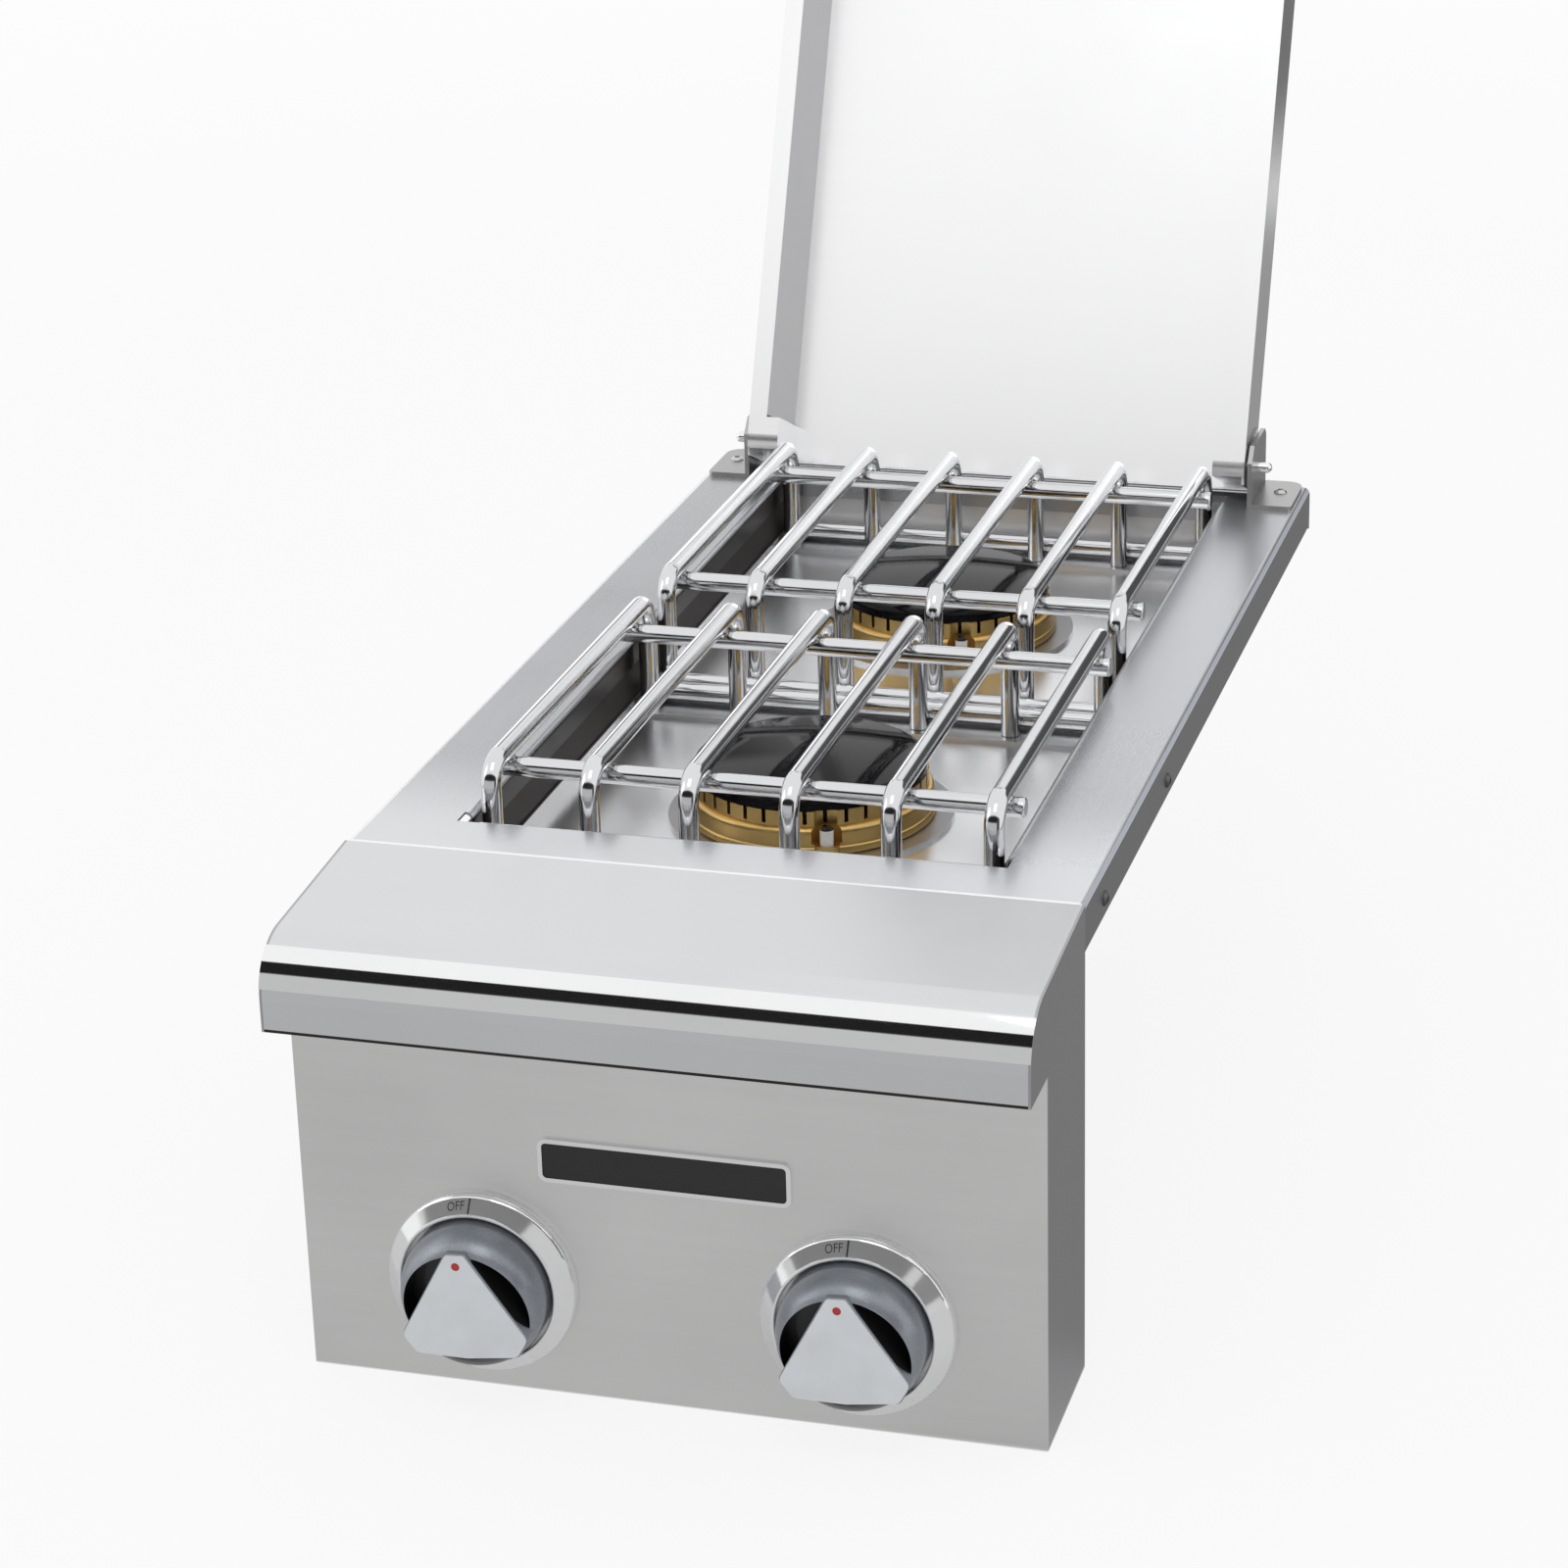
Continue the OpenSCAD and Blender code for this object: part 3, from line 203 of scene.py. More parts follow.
def two_part_material(name, shader, share, glow):
    """A material that shows a shader, and by a share its own light.

    share is a function of the tree, and glow is the light's colour and strength.
    """
    material = bpy.data.materials.new(name)
    material.use_nodes = True
    tree = material.node_tree
    tree.nodes.clear()
    colour, strength = glow
    mix = add(tree, "ShaderNodeMixShader", Fac=share(tree))
    feed(tree, add(tree, **shader).outputs[0], mix.inputs[1])
    shine = add(tree, "ShaderNodeEmission", Color=colour, Strength=strength)
    feed(tree, shine.outputs[0], mix.inputs[2])
    add(tree, "ShaderNodeOutputMaterial", Surface=mix.outputs[0])
    return material


def floor_glow(tree):
    """GLOW_SHARE near the burner, rising to 1 further out, and 0 for light."""
    away = maths(tree, "LENGTH", on_piece(tree), kind="ShaderNodeVectorMath")
    near, far = GLOW_GROWS
    whiter = ramp(tree, away, interpolation_type=SMOOTH, From_Min=near, From_Max=far,
                  To_Min=GLOW_SHARE)
    return maths(tree, "MULTIPLY", looked_at(tree), whiter)


floor = sheet_object("floor", [(x * FLOOR_HALF, y * FLOOR_HALF, FLOOR_Z)
                               for x, y in ((-1, -1), (1, -1), (1, 1), (-1, 1))])
floor.data.materials.append(two_part_material(
    "paper", {"kind": "ShaderNodeBsdfDiffuse", "Color": PAPER}, floor_glow,
    ((1.0, 1.0, 1.0, 1.0), 1.0)))
print("floor at", FLOOR_Z)

# %% [markdown]
# ## Cards
# A studio puts cards round polished steel, because a mirror in a white room has no
# edges. They are seen by reflections only, and their rims fade out over a share of
# their size, so that no hard edge is drawn across the metal.

# %% Write the card helpers


def rim_fade(share):
    """A mask for a card: 0 at its rim, 1 from a share of its size inwards."""
    def mask(tree):
        place = add(tree, "ShaderNodeTexCoord").outputs["UV"]
        parts = add(tree, "ShaderNodeSeparateXYZ", Vector=place)
        inwards = [ramp(tree, maths(tree, "PINGPONG", parts.outputs[axis], 0.5),
                        interpolation_type=SMOOTH, From_Max=share) for axis in "XY"]
        return maths(tree, "MULTIPLY", *inwards)
    return mask


def card(name, corners, grey, fade, strength=1.0):
    """A card that only reflections see."""
    piece = sheet_object(name, corners)
    layer = piece.data.uv_layers.new(name="card")
    layer.data.foreach_set("uv", [0.0, 0.0, 1.0, 0.0, 1.0, 1.0, 0.0, 1.0])
    piece.data.materials.append(two_part_material(
        name, {"kind": "ShaderNodeBsdfTransparent"}, rim_fade(fade),
        ((grey, grey, grey, 1.0), strength)))
    piece.visible_camera = False
    piece.visible_diffuse = False
    piece.visible_transmission = False
    piece.visible_shadow = False
    return piece


def upright(x0, y0, x1, y1, z0, z1):
    """Corners of an upright card from (x0, y0) to (x1, y1)."""
    return [(x0, y0, z0), (x1, y1, z0), (x1, y1, z1), (x0, y0, z1)]


def on_floor(x0, x1, y0, y1, height):
    """Corners of a card that lies at a height over the floor."""
    z = FLOOR_Z + height
    return [(x0, y0, z), (x1, y0, z), (x1, y1, z), (x0, y1, z)]


print("card helpers: rim_fade, card, upright, on_floor")

# %% [markdown]
# ## Where the cards stand
# In front, a black card makes the dark band along the rounded nose, a grey one fills
# the panel, and a pale one gives the foot of the lid its soft shade. Cards on the
# floor and at the corner keep the panel grey and the cheek dark. Behind, a dark card
# on the right and a grey one on the left shade the deck and one side of each rod, and
# a bright strip draws a thin light line along it.

# %% Set up the cards
cards = [
    card("nose card", upright(-1.4, -1.05, 1.1, -1.05, 0.185, 0.47), grey=0.015, fade=0.10),
    card("low card", upright(-1.7, -1.06, 1.4, -1.06, -0.20, 0.36), grey=0.58, fade=0.08),
    card("lid card", upright(-1.8, -1.6, 1.3, -1.6, 0.2, 1.25), grey=0.74, fade=0.48),
    card("right card", upright(0.16, 1.3, 1.3, 0.7, -0.15, 0.85), grey=0.09, fade=0.14),
    card("front card", on_floor(-2.0, 1.6, -3.2, -0.56, 0.001), grey=0.56, fade=0.03),
    card("side card", on_floor(0.05, 1.6, -0.72, 1.6, 0.002), grey=0.30, fade=0.07),
    card("corner card", upright(0.50, -1.10, 0.80, -0.80, -0.10, 0.30), grey=0.07,
         fade=0.10),
    card("left card", upright(-1.15, 0.9, -0.30, 0.9, 0.30, 0.66), grey=0.30, fade=0.30),
    card("strip light", upright(-1.5, 1.5, -0.75, 1.9, 0.0, 0.75), grey=1.0, fade=0.2,
         strength=1.8),
]
print("cards:", [piece.name for piece in cards])

# %% [markdown]
# ## Lamps
# The world already lights everything evenly, which looks flat. Two large soft lamps,
# a stronger one over the front and a weaker one from the left, add the gentle slope
# of light that shows which way each sheet faces.

# %% Hang the lamps
LAMP_SIZE = 1.2
LAMPS_FACE = (0.0, -0.3, 0.0)


def softbox(name, place, power):
    """A square area lamp at a place, facing the burner."""
    data = bpy.data.lights.new(name, "AREA")
    data.size = LAMP_SIZE
    data.energy = power
    lamp = bpy.data.objects.new(name, data)
    turn = (Vector(LAMPS_FACE) - Vector(place)).to_track_quat("-Z", "Y")
    lamp.matrix_world = Matrix.Translation(place) @ turn.to_matrix().to_4x4()
    bpy.context.scene.collection.objects.link(lamp)
    return lamp


lamps = [softbox("key", (0.2, -1.7, 2.6), power=6.0),
         softbox("fill", (-2.4, -1.2, 1.2), power=4.0)]
print("lamps:", [lamp.name for lamp in lamps])

# %% [markdown]
# ## Effects that finishes share
# Brushed steel is fine scratches in one direction. A noise pattern squeezed along
# two axes looks like that, so one node group holds it: its Squeeze input says how
# many strokes there are to a metre along each axis. A second group makes the cloudy
# patches that handling leaves on any metal.

# %% Build the brushed grain and the smudges
FLOAT = "NodeSocketFloat"
VECTOR = "NodeSocketVector"
PATCHY = (0.35, 0.7)


def new_group(name, inputs, outputs):
    """An empty node group with named sockets."""
    group = bpy.data.node_groups.new(name, "ShaderNodeTree")
    for label, kind, value in inputs:
        socket = group.interface.new_socket(label, in_out="INPUT", socket_type=kind)
        socket.default_value = value
    for label, kind in outputs:
        group.interface.new_socket(label, in_out="OUTPUT", socket_type=kind)
    return group, group.nodes.new("NodeGroupInput"), group.nodes.new("NodeGroupOutput")


grain, inside, outside = new_group(
    "brushed grain", [("Squeeze", VECTOR, (8.0, 1800.0, 1800.0))],
    [("Height", FLOAT), ("Tone", FLOAT)])
strokes = add(grain, "ShaderNodeVectorMath", operation="MULTIPLY")
feed(grain, on_piece(grain), strokes.inputs[0])
feed(grain, inside.outputs["Squeeze"], strokes.inputs[1])
fine = add(grain, "ShaderNodeTexNoise", Vector=strokes.outputs[0], Scale=1.0, Detail=3.0,
           Roughness=0.65)
coarse = add(grain, "ShaderNodeTexNoise", Vector=strokes.outputs[0], Scale=0.12, Detail=2.0)
set_up(grain, outside, Height=fine.outputs["Fac"], Tone=coarse.outputs["Fac"])

smudge, inside, outside = new_group(
    "handling smudges", [("Size", FLOAT, 9.0)], [("Mask", FLOAT)])
cloud = add(smudge, "ShaderNodeTexNoise", Vector=on_piece(smudge),
            Scale=inside.outputs["Size"], Detail=4.0, Roughness=0.55)
set_up(smudge, outside, Mask=ramp(smudge, cloud.outputs["Fac"], From_Min=PATCHY[0],
                                  From_Max=PATCHY[1]))
print("groups:", grain.name, "and", smudge.name)

# %% [markdown]
# ## Metal finishes
# Every steel piece uses the same tree with its own numbers: colour, gloss, how deep
# the grain is and which way it runs. The grain drives both the height and a little
# of the roughness, as real scratches do. The smudges shift the roughness, and both
# shade the colour. A share of metal below 1 lets some plain colour through, where
# pure metal would mirror too strongly.

# %% Write the metal finish
CLOUD_SHARE = 0.6
GRAIN_BUMP = 0.35


def metal(name, colour, squeeze, rough, depth, spread=0.05, cloud=9.0, shade=0.05,
          metallic=1.0):
    """Metal with brushed grain of a depth in mm.

    Gloss: rough + spread (2 grain - 1) + spread smudge. Colour: darker by up to shade
    where grain and smudge, mixed by CLOUD_SHARE, are low.
    """
    material = bpy.data.materials.new(name)
    material.use_nodes = True
    tree = material.node_tree
    strokes = add(tree, "ShaderNodeGroup", node_tree=grain, Squeeze=squeeze)
    marks = add(tree, "ShaderNodeGroup", node_tree=smudge, Size=cloud)
    height, mask = strokes.outputs["Height"], marks.outputs["Mask"]
    gloss = maths(tree, "ADD", ramp(tree, height, To_Min=-spread, To_Max=spread),
                  ramp(tree, mask, To_Min=rough, To_Max=rough + spread))
    cloudy = mixed(tree, "FLOAT", CLOUD_SHARE, strokes.outputs["Tone"], mask)
    dark = (*[c * (1.0 - shade) for c in colour], 1.0)
    bump = add(tree, "ShaderNodeBump", Strength=GRAIN_BUMP, Distance=depth * MM,
               Height=height)
    set_up(tree, tree.nodes["Principled BSDF"], Metallic=metallic, Roughness=gloss,
           Base_Color=mixed(tree, "RGBA", cloudy, dark, (*colour, 1.0)),
           Normal=bump.outputs["Normal"])
    return material


print("metal finish: colour share from smudges", CLOUD_SHARE)

# %% [markdown]
# ## The metals of this burner
# The deck is brushed from front to back and the other sheets from side to side. The
# sheets are all one steel, but each is given the tone it shows where it stands, so the
# lid's palest tone is painted light and the darker tones of the cheeks and the lid's
# rails are painted shade. The rods are bright round steel, the bezels are polished, the
# burners and fittings are brass, and the parts that nobody sees are plain.

# %% Mix the metals
ALONG_X = (8.0, 1800.0, 1800.0)
ALONG_Y = (1800.0, 8.0, 1800.0)
EVEN = (260.0, 260.0, 260.0)
FINE = (1500.0, 1500.0, 1500.0)
LUMPY = (700.0, 700.0, 700.0)
FINISH = {
    # deck: the sides' darker tone is a painted shade; the front strip is painted paler
    # below
    "deck": metal("deck_steel", (0.545, 0.553, 0.575), ALONG_Y, rough=0.27, depth=0.004,
                  metallic=0.85),
    "nose": metal("nose_steel", (0.72, 0.728, 0.745), ALONG_X, rough=0.22, depth=0.01),
    "panel": metal("panel_steel", (0.82, 0.82, 0.813), ALONG_X, rough=0.30, depth=0.014,
                   cloud=7.0, shade=0.13),
    # cheek: a darker tone than the panel's, a painted shade on the same steel
    "cheek": metal("cheek_steel", (0.46, 0.46, 0.475), ALONG_X, rough=0.30, depth=0.014),
    # lid: the palest tone, painted light on the same steel
    "lid": metal("lid_steel", (0.945, 0.948, 0.955), ALONG_X, rough=0.22, depth=0.008,
                 spread=0.04, shade=0.03),
    # lid rails: a darker tone, a painted shade on the same steel
    "rail": metal("lid_rail_steel", (0.48, 0.48, 0.485), ALONG_X, rough=0.26, depth=0.002,
                  spread=0.012),
    "pan": metal("pan_steel", (0.90, 0.905, 0.915), FINE, rough=0.24, depth=0.0004,
                 spread=0.012, shade=0.02),
    "inner": metal("inner_steel", (0.42, 0.41, 0.40), EVEN, rough=0.36, depth=0.004),
    "polished": metal("polished_steel", (0.90, 0.905, 0.91), FINE, rough=0.045,
                      depth=0.0004, spread=0.015),
    "bezel": metal("bezel_steel", (0.90, 0.905, 0.91), FINE, rough=0.07, depth=0.0001,
                   spread=0.01, metallic=0.72),
    "rod": metal("rod_steel", (0.74, 0.746, 0.76), FINE, rough=0.10, depth=0.0006,
                 spread=0.02, cloud=40.0),
    "weld": metal("weld_steel", (0.50, 0.47, 0.43), LUMPY, rough=0.22, depth=0.02,
                  spread=0.08, cloud=120.0, shade=0.35),
    "tube": metal("tube_aluminium", (0.72, 0.72, 0.73), EVEN, rough=0.30, depth=0.004),
    "brass": metal("burner_brass", (0.78, 0.53, 0.20), FINE, rough=0.31, depth=0.004,
                   cloud=30.0, shade=0.22),
    "zinc": metal("bracket_steel", (0.48, 0.478, 0.475), EVEN, rough=0.30, depth=0.004),
    "iron": metal("rail_iron", (0.17, 0.17, 0.175), EVEN, rough=0.42, depth=0.02),
    "screw": metal("screw_steel", (0.62, 0.62, 0.63), FINE, rough=0.18, depth=0.002),
    "face": metal("knob_face_metal", (0.78, 0.805, 0.84), EVEN, rough=0.30, depth=0.004,
                  cloud=60.0, shade=0.12, metallic=0.45),
    "spring": metal("spring_steel", (0.35, 0.35, 0.36), EVEN, rough=0.35, depth=0.004),
}
print("metal finishes:", len(FINISH))

# %% [markdown]
# ## Enamel, ceramic and plastic
# These are not metal: a dark or white body with a clear gloss over it. Enamel that
# was fired on a pressed cap is never quite flat, so a slow noise bends its gloss.
# The knobs' grey shines a little like metal, so it has a share of metal in it.

# %% Write the coated finishes
DARKEST = 0.8
BRIGHTEST = 1.15
WAVE_BUMP = 0.3
COAT_ROUGH = 0.03


def coated(name, colour, rough, coat, wave, depth, vary=0.05, shine=0.5, metallic=0.0):
    """A body under a clear coat, with waves of a depth in mm, as many as wave to a metre.

    Gloss: rough + vary noise. Colour: from DARKEST to BRIGHTEST times its own by noise.
    """
    material = bpy.data.materials.new(name)
    material.use_nodes = True
    tree = material.node_tree
    noise = add(tree, "ShaderNodeTexNoise", Vector=on_piece(tree), Scale=wave,
                Detail=3.0).outputs["Fac"]
    dark, bright = ((*[min(1.0, c * share) for c in colour], 1.0)
                    for share in (DARKEST, BRIGHTEST))
    bump = add(tree, "ShaderNodeBump", Strength=WAVE_BUMP, Distance=depth * MM,
               Height=noise)
    set_up(tree, tree.nodes["Principled BSDF"], Metallic=metallic,
           Specular_IOR_Level=shine, Coat_Weight=coat, Coat_Roughness=COAT_ROUGH,
           Roughness=ramp(tree, noise, To_Min=rough, To_Max=rough + vary),
           Base_Color=mixed(tree, "RGBA", noise, dark, bright),
           Normal=bump.outputs["Normal"])
    return material


FINISH.update({
    "enamel": coated("black_enamel", (0.005, 0.005, 0.006), rough=0.05, coat=0.0,
                     wave=30.0, depth=0.004, vary=0.02, shine=0.15),
    "ceramic": coated("white_ceramic", (0.86, 0.85, 0.82), rough=0.12, coat=0.3,
                      wave=300.0, depth=0.01),
    "knob": coated("knob_grey", (0.29, 0.31, 0.345), rough=0.30, coat=0.35, wave=900.0,
                   depth=0.002, metallic=0.55),
    "red": coated("red_mark", (0.42, 0.008, 0.012), rough=0.2, coat=0.5, wave=400.0,
                  depth=0.01),
    "plastic": coated("black_plastic", (0.02, 0.02, 0.021), rough=0.42, coat=0.0,
                      wave=1200.0, depth=0.02),
    "ink": coated("black_ink", (0.012, 0.012, 0.013), rough=0.5, coat=0.0, wave=900.0,
                  depth=0.004),
})
print("finishes:", len(FINISH))

# %% [markdown]
# ## Finishes that change over a piece
# Some pieces wear two finishes. They could be cut in two, but their mesh belongs to
# the solid model, so the material itself changes: the place on the piece says which
# finish shows. Each mask comes from Object coordinates, in the frame's own metres.

# %% Write the masks


def place_along(tree, axis):
    """The place along one axis, in metres."""
    return add(tree, "ShaderNodeSeparateXYZ", Vector=on_piece(tree)).outputs[axis]


def between(tree, value, low, high):
    """1 where a value is between low and high: within half their gap of their middle."""
    return maths(tree, "COMPARE", value, (low + high) / 2, (high - low) / 2)


def box_mask(tree, **spans):
    """1 inside every span: X=(low, high), Y=..., Z=..., in metres."""
    masks = [between(tree, place_along(tree, axis), *span) for axis, span in spans.items()]
    while len(masks) > 1:
        masks.append(maths(tree, "MULTIPLY", masks.pop(0), masks.pop(0)))
    return masks[0]


def distance_from(tree, first, centre, second, other):
    """Distance of two places from a centre: root of the sum of their squares."""
    squares = []
    for value, middle in ((first, centre), (second, other)):
        offset = maths(tree, "SUBTRACT", value, middle)
        squares.append(maths(tree, "MULTIPLY", offset, offset))
    return maths(tree, "POWER", maths(tree, "ADD", *squares), 0.5)


print("masks: place_along, between, box_mask, distance_from")

# %% Write the brush


def repaint(finish, mask, colour, rough, metallic):
    """Where the mask is 1, another colour, gloss and share of metal show."""
    tree = FINISH[finish].node_tree
    skin = tree.nodes["Principled BSDF"]
    for name, kind, value in (("Base Color", "RGBA", (*colour, 1.0)),
                              ("Roughness", "FLOAT", rough),
                              ("Metallic", "FLOAT", metallic)):
        target = skin.inputs[name]
        before = target.links[0].from_socket if target.is_linked else target.default_value
        feed(tree, mixed(tree, kind, mask, before, value), target)


def paint_box(finish, colour, rough, metallic, **spans):
    """Repaint what lies inside every span."""
    repaint(finish, box_mask(FINISH[finish].node_tree, **spans), colour, rough, metallic)


def sides(span):
    """A span right of the middle, and the same one left of it."""
    low, high = span
    return (-high, -low), (low, high)


print("brush: repaint, paint_box, sides")

# %% [markdown]
# ## Plate, electrodes, tub and pans
# The plate has a dark inlay inside a bright border. A spark electrode is white
# ceramic with a metal tip. Inside the tub the side walls are painted dark brown, a
# painted shade, and the rear wall a pale matt grey, a painted light. A darker, duller
# ring painted round each burner on its pan is the burner's painted shadow.

# %% Paint the plate, the electrodes, the tub and the pans
BURNER_Y = (-424.5, -156.5)
INLAY = {"X": (-0.0561, 0.0561), "Y": (-0.67315, -0.6729), "Z": (-0.0956, -0.0784)}
SPARK_TIP = (-0.00051, 0.01)
TUB_REAR = (-0.030, -0.0179)
TUB_SIDE = (0.1262, 0.1272)
PAN_SHADOW_RING = (0.0600, 0.0694)
WALL_SHADE = (0.055, 0.048, 0.045)
TUB_SHINE = 0.15

FINISH["plate"] = metal("plate_metal", (0.95, 0.95, 0.96), FINE, rough=0.07, depth=0.001)
paint_box("plate", (0.035, 0.035, 0.036), rough=0.34, metallic=0.6, **INLAY)
paint_box("ceramic", (0.10, 0.095, 0.09), rough=0.35, metallic=1.0, Z=SPARK_TIP)

FINISH["tub"] = metal("tub_steel", (0.85, 0.84, 0.825), ALONG_X, rough=0.30, depth=0.01,
                      cloud=6.0, shade=0.2)
# painted light: the tub's rear wall pale and matt
paint_box("tub", (0.88, 0.87, 0.86), rough=0.36, metallic=0.6, Y=TUB_REAR)
# painted shade: the tub's side walls dark brown
for span in sides(TUB_SIDE):
    paint_box("tub", WALL_SHADE, rough=0.50, metallic=0.3, X=span)
tree = FINISH["tub"].node_tree
set_up(tree, tree.nodes["Principled BSDF"], Specular_IOR_Level=TUB_SHINE)

tree = FINISH["pan"].node_tree
# painted shadow: a dark, dull ring round each burner on the pan
for middle in BURNER_Y:
    away = distance_from(tree, place_along(tree, "X"), 0.0,
                         place_along(tree, "Y"), middle * MM)
    repaint("pan", between(tree, away, *PAN_SHADOW_RING), (0.42, 0.42, 0.43), rough=0.40,
            metallic=1.0)
print("painted: plate, electrodes, tub, pans")

# %% [markdown]
# ## Deck and nose
# The deck's strip in front of the opening is painted paler than its darker sides and
# skirts, painted light and shade on one sheet. A painted highlight runs along the bend
# above the skirts, and a brighter painted highlight along the fold to the nose. The
# flange inside the opening is painted brown, a painted shade, and the nose's hem over
# the panel is painted near black, the painted shade in the gap under the nose. Later
# coats go over earlier ones, so their order matters.

# %% Paint the deck and the nose
FRONT_STRIP = (-0.47, -0.575)
SKIRT_X = (0.1708, 0.1722)
SKIRT_Z = (-0.0110, 0.0215)
EDGE_X = (0.1697, 0.1722)
EDGE_Z = (0.0215, 0.0239)
FOLD = {"Y": (-0.5964, -0.5938), "Z": (0.0225, 0.0245)}
FLANGE_X = (0.1242, 0.1262)
FLANGE_Z = (0.0090, 0.0212)
HEM = {"Y": (-0.7035, -0.7000), "Z": (-0.0236, -0.0216)}

tree = FINISH["deck"].node_tree
# painted light: the front strip paler than the sides
forward = ramp(tree, place_along(tree, "Y"), interpolation_type=SMOOTH,
               From_Min=FRONT_STRIP[0], From_Max=FRONT_STRIP[1])
repaint("deck", forward, (0.76, 0.768, 0.79), rough=0.27, metallic=0.85)
# painted shade: the skirts darker
for span in sides(SKIRT_X):
    paint_box("deck", (0.34, 0.335, 0.345), rough=0.34, metallic=1.0, X=span,
              Z=SKIRT_Z)
# painted highlight along the bend above each skirt
for span in sides(EDGE_X):
    paint_box("deck", (0.62, 0.65, 0.72), rough=0.28, metallic=0.3, X=span, Z=EDGE_Z)
# painted highlight along the fold to the nose
paint_box("deck", (0.97, 0.97, 0.98), rough=0.16, metallic=0.2, **FOLD)
# painted shade: the flange inside the opening brown and dark
for span in sides(FLANGE_X):
    paint_box("deck", WALL_SHADE, rough=0.32, metallic=0.9, X=span, Z=FLANGE_Z)
# painted shade: the nose's hem near black over the gap to the panel
paint_box("nose", (0.045, 0.04, 0.038), rough=0.30, metallic=1.0, **HEM)
print("painted: deck, nose")

# %% [markdown]
# ## Lid
# The lid's inner face mirrors the white room. Its outer face, which is on top when the
# lid is shut, would turn pure white in the same tone, so it is painted a little darker,
# a painted shade on the same steel. The open lid leans back, so the mask measures along
# a line square to it.

# %% Paint the lid's outer face
LID_LEAN = np.radians(24.0)
LID_OUTER = (0.0160, 0.0187)

tree = FINISH["lid"].node_tree
back = maths(tree, "MULTIPLY", place_along(tree, "Y"), -np.cos(LID_LEAN))
lift = maths(tree, "MULTIPLY", place_along(tree, "Z"), np.sin(LID_LEAN))
# painted shade: the lid's outer face darker than its inner face
repaint("lid", between(tree, maths(tree, "ADD", back, lift), *LID_OUTER),
        (0.78, 0.783, 0.79), rough=0.26, metallic=1.0)
print("painted: lid")

# %% [markdown]
# ## Knobs
# A knob is grey outside, and its finger hollows and lowest edge are painted near
# black, a painted shade.
# Its outside is a rounded disc: every point of it lies one rounding away from a flat
# core disc. So a point is in a hollow when it is nearer to that core than that.

# %% Paint the knobs' hollows
KNOB_X = 87.0
KNOB_Z = -151.0
FACE_Y = -672.0
CORE_R = 0.014
CORE_HEIGHT = 0.012
UNDER_SKIN = 0.0196
HOLLOW_HEIGHT = (0.0108, 0.0286)
LOWEST_EDGE = (-0.1860, -0.1740)
KNOB_SHADE = (0.012, 0.011, 0.011)

tree = FINISH["knob"].node_tree
aside = maths(tree, "ABSOLUTE", place_along(tree, "X"))
radius = distance_from(tree, aside, KNOB_X * MM, place_along(tree, "Z"), KNOB_Z * MM)
height = maths(tree, "SUBTRACT", FACE_Y * MM, place_along(tree, "Y"))
past = maths(tree, "MAXIMUM", maths(tree, "SUBTRACT", radius, CORE_R), 0.0)
depth = distance_from(tree, past, 0.0, height, CORE_HEIGHT)
hollow = maths(tree, "MULTIPLY", between(tree, depth, 0.0, UNDER_SKIN),
               between(tree, height, *HOLLOW_HEIGHT))
# painted shade: the finger hollows near black
repaint("knob", hollow, KNOB_SHADE, rough=0.38, metallic=0.0)
# painted shade along the knob's lowest edge
paint_box("knob", KNOB_SHADE, rough=0.38, metallic=0.0, Z=LOWEST_EDGE)
print("painted: knobs")

# %% [markdown]
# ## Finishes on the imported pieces
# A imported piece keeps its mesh. Only its material slots change, so a table of piece
# and finish is enough.

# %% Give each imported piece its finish
WORN_BY = {
    "deck": ["deck"],
    "nose": ["front_nose"],
    "panel": ["control_panel"],
    "cheek": ["left_cheek", "right_cheek"],
    "lid": ["lid", "lid_hinge_blocks"],
    "rail": ["lid_rails"],
    "pan": ["front_drip_pan", "rear_drip_pan"],
    "tub": ["firebox"],
    "inner": ["heat_shield", "firebox_hangers", "pan_rails",
              "front_burner_throat", "rear_burner_throat", "left_stem", "right_stem"],
    "plate": ["nameplate"],
    "polished": ["nose_trim", "lid_pins"],
    "bezel": ["left_bezel", "right_bezel"],
    "rod": ["front_grate_bars", "rear_grate_bars", "front_grate_cross_rods",
            "rear_grate_cross_rods"],
    "tube": ["front_gas_tube", "rear_gas_tube"],
    "brass": ["front_burner_base", "rear_burner_base", "front_jet", "rear_jet",
              "inlet_fitting", "left_valve", "right_valve", "left_valve_plug",
              "right_valve_plug"],
    "zinc": ["hinge_brackets"],
    "iron": ["manifold", "skirt_screws"],
    "screw": ["bracket_screws", "valve_screws"],
    "face": ["left_knob_face", "right_knob_face"],
    "spring": ["left_valve_spring", "right_valve_spring"],
    "enamel": ["front_burner_cap", "rear_burner_cap"],
    "ceramic": ["front_electrode", "rear_electrode"],
    "knob": ["left_knob", "right_knob"],
    "red": ["left_knob_dot", "right_knob_dot"],
    "plastic": ["spark_module", "ignition_leads"],
}
for finish, names in WORN_BY.items():
    for name in names:
        slots = NODES[name].data.materials
        slots.clear()
        slots.append(FINISH[finish])
print("dressed:", sum(len(names) for names in WORN_BY.values()), "of", len(NODES))

# %% [markdown]
# ## New pieces as surfaces
# Each new piece is a grid of points worked out from a formula with whole arrays. One
# helper turns any number of such grids into one mesh. A grid that closes on itself
# is joined along its seam, and a point repeated along an edge becomes one pole.

# %% Write the surface helper


